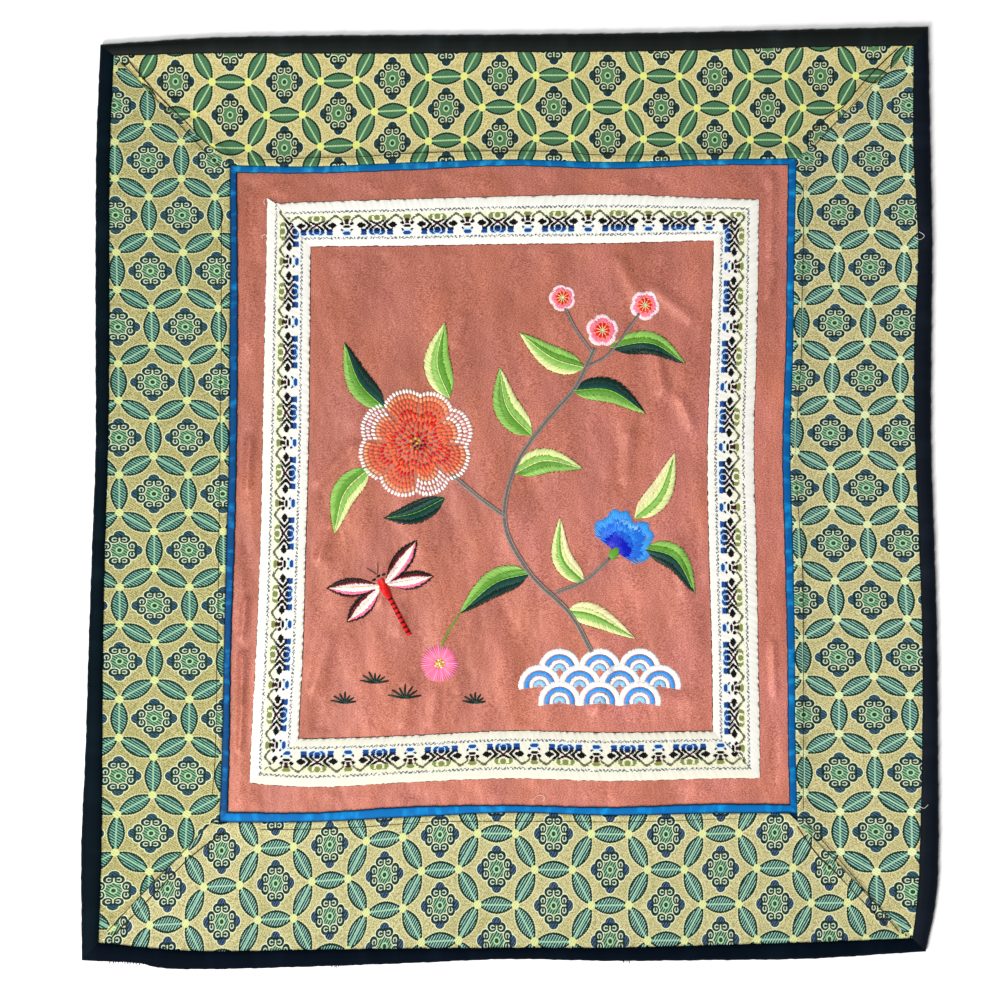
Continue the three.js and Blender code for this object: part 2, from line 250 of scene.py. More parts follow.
def line_at(side, line, at):
    """A line is (seam, seam, share between them, shift outwards)."""
    near, far, share, shift = line
    start = seam(side, near, at)
    return start + (seam(side, far, at) - start) * share + shift * OUTWARD[side]


def corner(side, other, line):
    """How far along its side a line meets the same line of the neighbouring side."""
    along = line_at(other, line, 0.0)
    for _ in range(SETTLING):
        across = line_at(side, line, along)
        along = line_at(other, line, across)
    return float(along)


# Sheets of cloth

def grid_sheet(name, across, along):
    """A flat grid to be placed, with its own coordinates from 0 to 1 over both ways."""
    bpy.ops.object.select_all(action="DESELECT")
    bpy.ops.mesh.primitive_grid_add(x_subdivisions=along, y_subdivisions=across, size=2)
    sheet = bpy.context.object
    sheet.name = name
    sheet.data.name = name
    corners = np.empty(len(sheet.data.vertices) * 3, np.float32)
    sheet.data.vertices.foreach_get("co", corners)
    corners = corners.reshape(-1, 3).astype(float)
    return sheet, (corners[:, 0] + 1) / 2, (corners[:, 1] + 1) / 2


def place(sheet, x, y, z):
    """Moves a grid's points to x, y and z in millimetres."""
    points = np.column_stack((x, y, z)) * MM
    sheet.data.vertices.foreach_set("co", points.astype(np.float32).ravel())
    sheet.data.update()


def set_uv(sheet, u, v):
    """Gives each point its place in the cloth's pattern."""
    layer = sheet.data.uv_layers[0]
    layer.name = "Cloth"
    loops = np.empty(len(sheet.data.loops), np.int32)
    sheet.data.loops.foreach_get("vertex_index", loops)
    layer.data.foreach_set("uv", np.column_stack((u[loops], v[loops])).astype(np.float32).ravel())


def pick(piece):
    """Selects one piece alone and makes it the active one."""
    bpy.ops.object.select_all(action="DESELECT")
    piece.select_set(True)
    bpy.context.view_layer.objects.active = piece


def thicken(sheet, x, y, underside):
    """Closes a sheet with an underside, given as its height under each of the sheet's points."""
    if sheet.data.polygons[len(sheet.data.polygons) // 2].normal.z < 0:
        sheet.data.flip_normals()
    pick(sheet)
    modifier = sheet.modifiers.new("cloth", "SOLIDIFY")
    modifier.thickness = MM
    modifier.offset = -1
    bpy.ops.object.modifier_apply(modifier=modifier.name)
    points = np.empty(len(sheet.data.vertices) * 3, np.float32)
    sheet.data.vertices.foreach_get("co", points)
    points = points.reshape(-1, 3)
    points[len(x):] = np.column_stack((x, y, np.broadcast_to(underside, x.shape))) * MM
    sheet.data.vertices.foreach_set("co", points.ravel())
    sheet.data.update()


def close_up(merge=False):
    """Leaves edit mode with all faces outwards, first joining a strip's edges and filling its ends."""
    if merge:
        bpy.ops.mesh.select_all(action="SELECT")
        bpy.ops.mesh.remove_doubles(threshold=0.01 * MM)
        bpy.ops.mesh.select_all(action="DESELECT")
        bpy.ops.mesh.select_non_manifold()
        bpy.ops.mesh.fill()
    bpy.ops.mesh.select_all(action="SELECT")
    bpy.ops.mesh.normals_make_consistent(inside=False)
    bpy.ops.object.mode_set(mode="OBJECT")


def smooth(piece, angle=60):
    """Shades a piece smooth but for the edges that turn by more than the angle in degrees."""
    pick(piece)
    bpy.ops.object.shade_smooth_by_angle(angle=math.radians(angle))


def strip_points(side, lines, u, v, starts=None, ends=None):
    """Places a strip's points: v picks a line across it and u runs between its two mitres.

    Starts and ends say how far each line runs on past its mitres.
    """
    along = np.empty_like(u)
    across = np.empty_like(u)
    places = np.round(v * (len(lines) - 1)).astype(int)
    for k, line in enumerate(lines):
        row = places == k
        start = corner(side, ENDS[side][0], line) - (starts[k] if starts else 0)
        end = corner(side, ENDS[side][1], line) + (ends[k] if ends else 0)
        along[row] = start + (end - start) * u[row]
        across[row] = line_at(side, line, along[row])
    return along, across, places


def on_panel(side, along, across):
    """A strip's way along and across as X and Y of the panel."""
    return (along, across) if LEVEL[side] else (across, along)


def past_seam(name, x, y):
    """How far a point lies outside the closed line that a seam makes round the panel."""
    return np.maximum.reduce((
        y - seam("top", name, x),
        seam("bottom", name, x) - y,
        x - seam("right", name, y),
        seam("left", name, y) - x,
    ))


def smooth_step(value, low, high):
    """0 below low, 1 above high and a smooth rise between."""
    t = np.clip((value - low) / (high - low), 0, 1)
    return t * t * (3 - 2 * t)


def ridges(rows, x, y):
    """Soft ridges, each from one point to another with its height and half width."""
    height = np.zeros_like(x)
    for x0, y0, x1, y1, top, half_width in rows:
        run_x, run_y = x1 - x0, y1 - y0
        share = ((x - x0) * run_x + (y - y0) * run_y) / (run_x ** 2 + run_y ** 2)
        share = np.clip(share, 0, 1)
        distance = np.hypot(x - x0 - share * run_x, y - y0 - share * run_y)
        height += top * np.exp(-(distance / half_width) ** 2)
    return height


def waves_at(rows, x, y, sway=0.0):
    return sum(rise * np.sin(x * per_x + y * per_y + shift + sway)
               for rise, per_x, per_y, shift in rows)


def crease_height(x, y):
    """The satin's creases, held flat where the ribbon and the piping are sewn over them."""
    x, y = np.asarray(x, float), np.asarray(y, float)
    from_ribbon = np.maximum(past_seam("ribbon_outer", x, y), -past_seam("ribbon_inner", x, y))
    clearance = np.minimum(from_ribbon, -past_seam("pipe_inner", x, y))
    loose = ridges(CREASES, x, y) + waves_at(SWELLS, x, y, waves_at(SWAYS, x, y))
    return (loose * smooth_step(clearance, *CREASES_FREE)
            + ridges(WRINKLES, x, y) * smooth_step(clearance, *WRINKLES_FREE))


def field_surface(x, y):
    return FIELD_TOP + crease_height(x, y)


# Materials

def linear(hex_colour):
    """An sRGB hex colour as linear red, green, blue and alpha."""
    parts = [int(hex_colour[k:k + 2], 16) / 255 for k in (1, 3, 5)]
    return [c / 12.92 if c <= 0.04045 else ((c + 0.055) / 1.055) ** 2.4 for c in parts] + [1.0]


def add_node(tree, kind, inputs=(), **settings):
    """Adds a node with its settings; each input is a value or the socket that feeds it."""
    made = tree.nodes.new("ShaderNode" + kind)
    for key, value in settings.items():
        setattr(made, key, value)
    pairs = inputs.items() if isinstance(inputs, dict) else enumerate(inputs)
    for key, value in pairs:
        if isinstance(value, bpy.types.NodeSocket):
            tree.links.new(value, made.inputs[key])
        else:
            made.inputs[key].default_value = value
    return made


def new_material(name, **sockets):
    """A Principled material with its sockets set, and the tree and shader to build on."""
    material = bpy.data.materials.new(name)
    material.use_nodes = True
    tree = material.node_tree
    shader = tree.nodes["Principled BSDF"]
    for key, value in sockets.items():
        shader.inputs[key.replace("_", " ")].default_value = value
    return material, tree, shader


def work_out(tree, known, steps):
    """Adds one Math node for each row (name, operation, inputs) and keeps its result by name."""
    for name, operation, *inputs in steps:
        sockets = [known[k] if isinstance(k, str) else k for k in inputs]
        known[name] = add_node(tree, "Math", sockets, operation=operation).outputs[0]
    return known


def squares(name, a, b):
    """Two rows for the sum of the squares of a and b."""
    return (
        (name + "_first", "MULTIPLY", a, a),
        (name, "MULTIPLY_ADD", b, b, name + "_first"),
    )


def paint(tree, colour, layers):
    """Lays colours over each other in turn, each where its mask is 1."""
    for mask, over in layers:
        mixed = add_node(tree, "Mix", {0: mask, 6: colour, 7: over}, data_type="RGBA")
        colour = mixed.outputs[2]
    return colour


def dress(tree, shader, colour, height, strength, depth):
    """Gives a shader its colour, and a relief from a height that is depth millimetres at 1."""
    bump = add_node(tree, "Bump", {"Height": height, "Strength": strength, "Distance": depth * MM})
    tree.links.new(colour, shader.inputs["Base Color"])
    tree.links.new(bump.outputs[0], shader.inputs["Normal"])


# Camera, light and floor

VIEW_CENTRE = Vector((-3.9 * MM, -0.76 * MM, 0.0))
VIEW_WIDTH = 400 * MM
CAMERA_HEIGHT = 1.0
SENSOR = 36.0

camera_data = bpy.data.cameras.new("camera")
camera_data.sensor_width = SENSOR
camera_data.lens = SENSOR * CAMERA_HEIGHT / VIEW_WIDTH
camera = bpy.data.objects.new("camera", camera_data)
camera.location = VIEW_CENTRE + Vector((0, 0, CAMERA_HEIGHT))
bpy.context.collection.objects.link(camera)
bpy.context.scene.camera = camera


def add_light(name, energy, size, position, colour):
    """Adds a square area light that faces the middle of the panel."""
    data = bpy.data.lights.new(name, "AREA")
    data.energy = energy
    data.size = size
    data.color = linear(colour)[:3]
    lamp = bpy.data.objects.new(name, data)
    lamp.location = position
    lamp.rotation_euler = (-Vector(position)).to_track_quat("-Z", "Y").to_euler()
    bpy.context.collection.objects.link(lamp)


LIGHTS = (
    # name, watts, side of the square, position, colour
    ("window", 29.0, 0.6, (-0.85, -1.1, 1.2), "#FFF9F3"),
    ("ceiling", 12.0, 0.5, (-0.55, -0.35, 1.5), "#FBFCFF"),
)
for light in LIGHTS:
    add_light(*light)

WORLD_STRENGTH = 0.34
world = bpy.data.worlds.new("studio")
bpy.context.scene.world = world
world.use_nodes = True
world.node_tree.nodes["Background"].inputs["Color"].default_value = linear("#FFFFFF")
world.node_tree.nodes["Background"].inputs["Strength"].default_value = WORLD_STRENGTH
bpy.context.scene.view_settings.view_transform = "Standard"

FLOOR_SIZE = 6.0
bpy.ops.object.select_all(action="DESELECT")
bpy.ops.mesh.primitive_plane_add(size=FLOOR_SIZE)
floor = bpy.context.object
floor.name = "floor"
floor_material, _, _ = new_material("white_card", Base_Color=linear("#FFFFFF"), Roughness=0.9)
floor.data.materials.append(floor_material)


# The rose satin of the field

# The satin's noises: stretch along X, Y and Z, turn in degrees, scale and detail
SATIN_NOISES = {
    "clouds": ((1.6, 0.8, 1), 12, 36.0, 3.0),
    "tones": ((1.2, 0.7, 1), -20, 36.0, 2.0),
    "floats_a": ((1, 2.0, 1), 38, 1700.0, 1.0),
    "floats_b": ((1, 2.0, 1), -46, 1700.0, 1.0),
}
# What the satin's colour is multiplied by where each share is 0 and where it is 1: the first and the
# last are painted light, the middle one a tone that varies at random
SATIN_CASTS = {
    # painted sheen: soft clouds of lighter and darker satin
    "painted_sheen_mottle": ((0.8, 0.78, 0.77, 1), (1.14, 1.17, 1.19, 1)),
    "tone": ((1.0, 0.97, 0.86, 1), (1.0, 1.02, 1.16, 1)),
    # painted light: lighter and pinker towards the right and the bottom
    "painted_light_slope": ((0.88, 0.89, 0.9, 1), (1.1, 1.14, 1.25, 1)),
}
FIELD_ROWS = 286
FIELD_COLUMNS = 248
# The field ends half way under the piping
FIELD_EDGE = ("pipe_inner", "pipe_outer", 0.5, -0.15)


def satin_material():
    """Silk satin: a soft gloss over fine crossing floats, its rose shifting at random from brown to
    pink, with painted sheen in soft lighter and darker clouds and painted light that makes it lighter
    and pinker towards the right and the bottom.
    """
    material, tree, shader = new_material("rose_silk_satin", Roughness=0.42, Specular_IOR_Level=0.7,
                                          Specular_Tint=linear("#FFC8B4"))
    place_in = add_node(tree, "TexCoord").outputs["Object"]
    split = add_node(tree, "SeparateXYZ", [place_in])
    known = {"x": split.outputs[0], "y": split.outputs[1]}
    for name, (stretch, turn, scale, detail) in SATIN_NOISES.items():
        turned_place = add_node(tree, "Mapping", {"Vector": place_in, "Scale": stretch,
                                                  "Rotation": (0, 0, math.radians(turn))})
        noise = add_node(tree, "TexNoise", {"Vector": turned_place.outputs[0], "Scale": scale,
                                            "Detail": detail})
        known[name] = noise.outputs["Fac"]
    work_out(tree, known, (
        ("both", "ADD", "floats_a", "floats_b"),
        ("grain", "MULTIPLY_ADD", "both", 3.0, -2.5),
        # painted sheen, from the soft clouds
        ("painted_sheen_mottle", "MULTIPLY_ADD", "clouds", 2.4, -0.7),
        ("tone", "MULTIPLY_ADD", "tones", 2.4, -0.7),
        # painted light, a share that grows towards the right and the bottom
        ("painted_light_slope_low", "MULTIPLY_ADD", "x", 4.8, 0.5),
        ("painted_light_slope", "MULTIPLY_ADD", "y", -3.2, "painted_light_slope_low"),
        ("swell", "MULTIPLY_ADD", "both", 0.012, "clouds"),
    ))
    colour = paint(tree, linear("#964F3D"), ((known["grain"], linear("#CA7E6A")),))
    for share, (low, high) in SATIN_CASTS.items():
        cast = paint(tree, low, ((known[share], high),))
        colour = add_node(tree, "Mix", {0: 1.0, 6: colour, 7: cast}, data_type="RGBA",
                          blend_type="MULTIPLY").outputs[2]
    dress(tree, shader, colour, known["swell"], 1.0, 2.0)
    return material


def make_field():
    """One satin sheet, its edges ending under the piping."""
    field, u, v = grid_sheet("satin_field", FIELD_ROWS, FIELD_COLUMNS)
    x = np.zeros_like(u)
    y = np.zeros_like(u)
    for _ in range(SETTLING):
        low, high = line_at("bottom", FIELD_EDGE, x), line_at("top", FIELD_EDGE, x)
        y = low + (high - low) * v
        low, high = line_at("left", FIELD_EDGE, y), line_at("right", FIELD_EDGE, y)
        x = low + (high - low) * u
    place(field, x, y, field_surface(x, y))
    bpy.ops.object.mode_set(mode="EDIT")
    bpy.ops.mesh.select_all(action="DESELECT")
    bpy.ops.mesh.select_non_manifold()
    down = (0, 0, (UNDERSIDE - FIELD_TOP) * MM)
    bpy.ops.mesh.extrude_edges_move(TRANSFORM_OT_translate={"value": down})
    bpy.ops.mesh.edge_face_add()
    close_up()
    smooth(field)
    field.data.materials.append(satin_material())
    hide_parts("field")
    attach(field, "root")


# The figured brocade of the borders

HEX_SIDE = 14.4
RUNG_STEP = 1.5 * HEX_SIDE
ROW_PITCH = math.sqrt(3) * HEX_SIDE
APOTHEM = ROW_PITCH / 2


def brocade_steps():
    """Rows of Math nodes that find a point's place in the brocade's hexagons, leaves and medallions.

    The named sizes are the pattern's own, in millimetres.
    """
    cos30 = math.cos(math.radians(30))
    leaf_half, leaf_halo, leaf_rim, rib_half = 3.15, 0.45, 0.74, 0.31
    tooth_height, tooth_period = 0.11, 0.9
    knot_radius = 1.5
    medallion_stretch, head_spread = 1.11, 0.9
    lobe_out, lobe_off, lobe_radius = 4.72, 1.74, 1.75
    tip_out, tip_radius, head_rim = 6.45, 1.85, 0.34
    navy_out, navy_inset = 6.1, 0.12
    curl_out, curl_off, curl_radius, curl_hole, slit_half = 4.55, 1.6, 0.92, 0.5, 0.3
    axis_half, axis_reach = 0.26, 5.3
    core_rim, core_radius, ring_rim, ring_radius = 4.7, 4.35, 1.4, 0.86
    diagonal_p, diagonal_q = RUNG_STEP * 0.87, ROW_PITCH * 0.55
    hatch_period, twill_period, hatch_from = 0.92, 0.8, 0.4
    return (
        # the point folded into one quarter of a hexagon about its medallion
        ("cell_p", "WRAP", "p", 1.0, -1.0),
        ("cell_q", "WRAP", "q", 0.5, -0.5),
        ("fold_p", "ABSOLUTE", "cell_p"),
        ("fold_q", "ABSOLUTE", "cell_q"),
        ("x0", "MULTIPLY", "fold_p", RUNG_STEP),
        ("y0", "MULTIPLY", "fold_q", ROW_PITCH),
        ("half_y0", "MULTIPLY", "y0", 0.5),
        ("lean0", "MULTIPLY_ADD", "x0", cos30, "half_y0"),
        ("far", "GREATER_THAN", "lean0", APOTHEM),
        ("turn_x", "MULTIPLY_ADD", "x0", -2.0, RUNG_STEP),
        ("turn_y", "MULTIPLY_ADD", "y0", -2.0, APOTHEM),
        ("x", "MULTIPLY_ADD", "far", "turn_x", "x0"),
        ("y", "MULTIPLY_ADD", "far", "turn_y", "y0"),
        # distance from the hexagon's level side and from its slanting one
        ("v0", "SUBTRACT", APOTHEM, "y"),
        ("half_y", "MULTIPLY", "y", 0.5),
        ("lean", "MULTIPLY_ADD", "x", cos30, "half_y"),
        ("v1", "SUBTRACT", APOTHEM, "lean"),
        ("slide_x", "MULTIPLY_ADD", "x", -0.5, 0.375 * HEX_SIDE),
        ("slide_y", "SUBTRACT", "y", APOTHEM / 2),
        ("u1", "MULTIPLY_ADD", "slide_y", cos30, "slide_x"),
        ("slant", "LESS_THAN", "v1", "v0"),
        ("u_change", "SUBTRACT", "u1", "x"),
        ("u", "MULTIPLY_ADD", "slant", "u_change", "x"),
        ("v", "MINIMUM", "v0", "v1"),
        # a leaf along that side, its outline cut into small teeth
        ("u_share", "DIVIDE", "u", HEX_SIDE / 2),
        ("u_square", "MULTIPLY", "u_share", "u_share"),
        ("width", "MULTIPLY_ADD", "u_square", -leaf_half, leaf_half),
        ("teeth_phase", "MULTIPLY", "u", 2 * math.pi / tooth_period),
        ("teeth", "SINE", "teeth_phase"),
        ("edge", "MULTIPLY_ADD", "teeth", tooth_height, "width"),
        ("inside", "SUBTRACT", "edge", "v"),
        ("leaf", "GREATER_THAN", "inside", 0.0),
        ("leaf_halo", "GREATER_THAN", "inside", -leaf_halo),
        ("leaf_body", "GREATER_THAN", "inside", leaf_rim),
        ("rib", "LESS_THAN", "v", rib_half),
        ("midrib", "MULTIPLY", "rib", "leaf_body"),
        # knots where three leaves meet
        ("kx1", "SUBTRACT", "x", HEX_SIDE),
        *squares("k1", "kx1", "y"),
        ("kx2", "SUBTRACT", "x", HEX_SIDE / 2),
        *squares("k2", "v0", "kx2"),
        ("k", "MINIMUM", "k1", "k2"),
        ("knot", "LESS_THAN", "k", knot_radius ** 2),
        # the medallion: one of its four heads, measured from the middle outwards
        ("mx", "MULTIPLY", "x", medallion_stretch),
        ("out", "MAXIMUM", "mx", "y"),
        ("off_wide", "MINIMUM", "mx", "y"),
        ("off", "MULTIPLY", "off_wide", head_spread),
        ("lx", "SUBTRACT", "out", lobe_out),
        ("ly", "SUBTRACT", "off", lobe_off),
        *squares("lobe_square", "lx", "ly"),
        ("lobe_r", "SQRT", "lobe_square"),
        ("lobe", "SUBTRACT", "lobe_r", lobe_radius),
        ("tx", "SUBTRACT", "out", tip_out),
        *squares("tip_square", "tx", "off"),
        ("tip_r", "SQRT", "tip_square"),
        ("tip", "SUBTRACT", "tip_r", tip_radius),
        ("head", "MINIMUM", "lobe", "tip"),
        ("head_edge", "LESS_THAN", "head", head_rim),
        ("head_body", "LESS_THAN", "head", 0.0),
        ("navy_base", "SUBTRACT", navy_out, "out"),
        ("navy_edge", "MAXIMUM", "tip", "navy_base"),
        ("tip_navy", "LESS_THAN", "navy_edge", -navy_inset),
        ("cx", "SUBTRACT", "out", curl_out),
        ("cy", "SUBTRACT", "off", curl_off),
        *squares("curl_square", "cx", "cy"),
        ("curl_ring", "LESS_THAN", "curl_square", curl_radius ** 2),
        ("curl_middle", "LESS_THAN", "curl_square", curl_hole ** 2),
        ("curl_gap", "ABSOLUTE", "cx"),
        ("curl_slit", "LESS_THAN", "curl_gap", slit_half),
        ("curl_way", "LESS_THAN", "cy", 0.0),
        ("curl_mouth", "MULTIPLY", "curl_slit", "curl_way"),
        ("curl_open", "MULTIPLY", "curl_mouth", "curl_ring"),
        ("curl_eye", "MAXIMUM", "curl_middle", "curl_open"),
        ("axis_near", "LESS_THAN", "off", axis_half),
        ("axis_short", "LESS_THAN", "out", axis_reach),
        ("axis", "MULTIPLY", "axis_near", "axis_short"),
        ("axis_line", "MULTIPLY", "axis", "head_edge"),
        *squares("r_square", "mx", "y"),
        ("r", "SQRT", "r_square"),
        ("core_edge", "LESS_THAN", "r", core_rim),
        ("core", "LESS_THAN", "r", core_radius),
        ("ring_light", "LESS_THAN", "r", ring_rim),
        ("ring", "LESS_THAN", "r", ring_radius),
        # slanting hatch of bound floats over the whole cloth
        ("flat_x", "MULTIPLY", "p", diagonal_p),
        ("diagonal", "MULTIPLY_ADD", "q", diagonal_q, "flat_x"),
        ("hatch_phase", "MULTIPLY", "diagonal", 2 * math.pi / hatch_period),
        ("hatch_wave", "SINE", "hatch_phase"),
        ("hatch", "GREATER_THAN", "hatch_wave", hatch_from),
        ("twill_phase", "MULTIPLY", "diagonal", 2 * math.pi / twill_period),
        ("twill_wave", "SINE", "twill_phase"),
    )


# What is laid over the brocade's ground in turn: a mask, and a colour or the name of the strip's own
BROCADE_LAYERS = (
    ("shade", "#868648"),
    ("halo", "#DEE2B6"),
    ("leaf", "#04241A"),
    ("leaf_body", "leaf"),
    ("leaf_hatch", "hatch"),
    ("midrib_lit", "midrib"),
    ("core_edge", "midrib"),
    ("core", "core"),
    ("core_shade", "midrib"),
    ("ring_light", "#A4CC9C"),
    ("ring", "#1C3C28"),
    ("head_edge", "#D6DEB4"),
    ("head_body", "head"),
    ("tip_navy", "navy"),
    ("head_hatch", "hatch"),
    ("curl_ring", "#B8CCB4"),
    ("curl_eye", "#14301E"),
    ("axis_line", "#C0D0AA"),
    ("knot", "knot"),
    ("knot_hatch", "ground_dark"),
    ("worn", "#C4C89C"),
)


def brocade_material(side, looks):
    """Figured silk brocade: a gold twill ground with green and navy floats, nearly matt."""
    material, tree, shader = new_material("figured_brocade_" + side, Roughness=0.8,
                                          Specular_IOR_Level=0.06)
    look = {name: value if isinstance(value, float) else linear(value)
            for name, value in zip(BROCADE_LOOK_COLUMNS, looks)}
    pattern = add_node(tree, "UVMap", uv_map="Cloth").outputs[0]
    split = add_node(tree, "SeparateXYZ", [pattern])
    known = work_out(tree, {"p": split.outputs[0], "q": split.outputs[1]}, brocade_steps())
    place_in = add_node(tree, "TexCoord").outputs["Object"]
    yarn = add_node(tree, "TexNoise", {"Vector": place_in, "Scale": 1700.0, "Detail": 1.0})
    clouds = add_node(tree, "TexNoise", {"Vector": place_in, "Scale": 34.0, "Detail": 2.0})
    known["yarn"] = yarn.outputs["Fac"]
    known["clouds"] = clouds.outputs["Fac"]
    work_out(tree, known, (
        ("ground_low", "MULTIPLY_ADD", "twill_wave", look["twill"], -1.05),
        ("ground_share", "MULTIPLY_ADD", "yarn", 3.2, "ground_low"),
        ("halo", "MULTIPLY", "leaf_halo", 0.5),
        ("leaf_lines", "MULTIPLY", "hatch", look["hatch_share"]),
        ("gloss", "MULTIPLY_ADD", "yarn", 1.5, 0.1),
        ("leaf_float", "MULTIPLY", "leaf_lines", "gloss"),
        ("leaf_hatch", "MULTIPLY", "leaf_float", "leaf_body"),
        ("midrib_share", "MULTIPLY_ADD", "hatch", 0.4, 0.55),
        ("midrib_lit", "MULTIPLY", "midrib", "midrib_share"),
        ("core_hatch", "MULTIPLY", "leaf_lines", "core"),
        ("core_shade", "MULTIPLY", "core_hatch", 0.8),
        ("head_lines", "MULTIPLY", "leaf_lines", "tip_navy"),
        ("head_hatch", "MULTIPLY", "head_lines", 0.16),
        ("knot_lines", "MULTIPLY", "leaf_lines", "knot"),
        ("knot_hatch", "MULTIPLY", "knot_lines", 0.5),
        ("shade", "MULTIPLY_ADD", "clouds", 1.3, -0.65),
        ("worn", "MULTIPLY_ADD", "yarn", 0.3, -0.135),
    ))
    ground = paint(tree, look["ground_dark"], ((known["ground_share"], look["ground"]),))
    colour = paint(tree, ground, [(known[mask], look[dye] if dye in look else linear(dye))
                                  for mask, dye in BROCADE_LAYERS])
    work_out(tree, known, (
        ("relief_leaf", "MULTIPLY", "leaf", 0.5),
        ("relief_hatch", "MULTIPLY_ADD", "hatch_wave", 0.2, "relief_leaf"),
        ("relief", "MULTIPLY_ADD", "yarn", 0.5, "relief_hatch"),
    ))
    dress(tree, shader, colour, known["relief"], 0.5, 0.12)
    return material


# The floats of each strip lie their own way to the light, so the same cloth looks different: each
# strip's own colours are painted light
BROCADE_LOOK_COLUMNS = ("hatch_share", "twill", "hatch", "leaf", "core", "ground", "ground_dark",
                        "midrib", "head", "navy", "knot")
BROCADE_LOOKS = {
    "top": (0.06, 0.1, "#84B490", "#3E6E4C", "#4A7850", "#DACE96", "#A49C5C", "#B8DCA4", "#101E12",
            "#0C2E3C", "#DCE27C"),
    "bottom": (0.82, 0.16, "#AEE2D4", "#08342C", "#184434", "#CCC696", "#908C5A", "#A8D8B4", "#0A242C",
               "#062450", "#D4DC98"),
    "left": (0.76, 0.26, "#98D4C4", "#0C4036", "#20563E", "#BEB882", "#807C48", "#A4D2A8", "#0A2A2C",
             "#042E48", "#D2DC94"),
    "right": (0.76, 0.22, "#B0E2D8", "#0E463A", "#265E46", "#D0C896", "#928C5A", "#B0DCB8", "#0A262C",
              "#04304C", "#DCE6B0"),
}

# The brocade across a strip, from its edge beside the piping out to its rim in the binding: share
# of the way between the two seams, shift outwards, height of the face, height of the underside
BROCADE_ROWS = (
    (0.0, -0.15, 2.05, 1.95),
    (0.0, 0.05, 2.4, 1.95),
    (0.0, 0.5, 2.55, 1.95),
    (0.0, 1.3, 2.5, 1.95),
    (0.0, 1.9, 2.3, 1.95),
    (0.0, 2.5, 2.1, 1.95),
    (0.0, 3.1, 2.15, 1.95),
    (0.0, 3.9, 1.75, 0.05),
    (0.0, 5.2, 1.35, 0.05),
    (0.25, 0.0, 1.3, 0.05),
    (0.4, 0.0, 1.3, 0.05),
    (0.55, 0.0, 1.3, 0.05),
    (0.7, 0.0, 1.3, 0.05),
    (1.0, -7.0, 1.3, 0.05),
    (1.0, -4.5, 1.5, 0.2),
    (1.0, -2.0, 1.9, 0.7),
    (1.0, 0.2, 2.2, 1.2),
    (1.0, 3.0, 2.2, 1.2),
)
BROCADE_COLUMN_COUNT = 240
# How far each strip runs on past its two mitres, or stops short of them below 0. The top and
# bottom strips are folded under at their ends and lie over the side ones.
LAPS = {"top": (0.4, 0.4), "bottom": (3.0, -3.6), "left": (0.0, 0.0), "right": (4.4, 0.0)}
LAP_WIDTH = 3.4
LAP_SLOPE = 3.5
LAP_RISE = 0.75
LAP_THICKNESS = 0.4
# The first row that lies inside the binding, and the share of its lap that a strip keeps there
LAP_ENDS_AT = 13
LAP_INSIDE = 0.3
# The ripple of the cloth, and the height above which there is none: on the piping and at the rim
RIPPLE_HEIGHT = 0.22
RIPPLE_BELOW = 1.5


def make_brocade(side):
    """One border strip, its edge folded over the piping and its rim inside the binding."""
    shares, shifts, tops, undersides = np.array(BROCADE_ROWS).T
    lines = [("pipe_outer", "fold", *row) for row in zip(shares, shifts)]
    strip, u, v = grid_sheet("brocade_border_" + side, len(lines) - 1, BROCADE_COLUMN_COUNT)
    tapers = [1.0 if k < LAP_ENDS_AT else LAP_INSIDE for k in range(len(lines))]
    starts, ends = [[lap * taper for taper in tapers] for lap in LAPS[side]]
    along, across, places = strip_points(side, lines, u, v, starts, ends)
    x, y = on_panel(side, along, across)
    z = tops[places]
    ripple = np.sin(x * 0.23 + y * 0.13) * np.cos(y * 0.19 - x * 0.08)
    z = z + RIPPLE_HEIGHT * ripple * (z < RIPPLE_BELOW)
    underside = undersides[places]
    if LEVEL[side]:
        to_end = np.minimum(u, 1 - u) * np.ptp(along) / math.sqrt(2)
        lift = LAP_RISE * (1 - smooth_step(to_end, LAP_WIDTH, LAP_WIDTH + LAP_SLOPE))
        lift = lift * (places < LAP_ENDS_AT)
        z = z + lift
        underside = np.where(lift > LAP_RISE * 0.6, z - LAP_THICKNESS, underside)
    place(strip, x, y, z)
    rung = grain(side, "rung", along)
    row = -(across - grain(side, "line", along)) / grain(side, "pitch", along)
    set_uv(strip, rung, row)
    thicken(strip, x, y, underside)
    smooth(strip)
    strip.data.materials.append(brocade_material(side, BROCADE_LOOKS[side]))
    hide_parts("brocade_" + side)
    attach(strip, "root")


# Folded strips: the piping and the binding

# The puckers along a folded strip as waves: radians a millimetre, and how often the shift is added
PUCKERS = ((0.9, 1), (0.37, 2), (2.1, -1))
# How far they move the strip sideways, the share by which they raise what lies above a height, and
# how fast they set in from the strip's ends
PUCKER_SHIFT = 0.06
PUCKER_RISE = 0.015
PUCKER_ABOVE = 1.5
PUCKER_ENDS = 30
# Where the face that shows lies on the strip's coordinate across it, and how fast the painted shade of
# the crevices beside it darkens it there from half its width outwards
FACE_MIDDLE = 0.155
FACE_HALF = 0.045
SHADE_SLOPE = 24.0


def folded_strip(name, side, seams, section, along_count, shift):
    """A strip of cloth folded lengthwise, its section a closed loop between two seams."""
    loop = section + section[:1]
    shares, shifts, heights = np.array(loop).T
    lines = [(*seams, *row) for row in zip(shares, shifts)]
    strip, u, v = grid_sheet(name, len(lines) - 1, along_count)
    along, across, places = strip_points(side, lines, u, v)
    pucker = sum(np.sin(along * rate + times * shift) for rate, times in PUCKERS)
    pucker = pucker * np.minimum(1, np.minimum(u, 1 - u) * PUCKER_ENDS)
    x, y = on_panel(side, along, across + PUCKER_SHIFT * pucker)
    z = heights[places] * (1 + PUCKER_RISE * pucker * (heights[places] > PUCKER_ABOVE))
    place(strip, x, y, z)
    set_uv(strip, along / 100, places / len(lines))
    bpy.ops.object.mode_set(mode="EDIT")
    close_up(merge=True)
    smooth(strip, 50)
    return strip


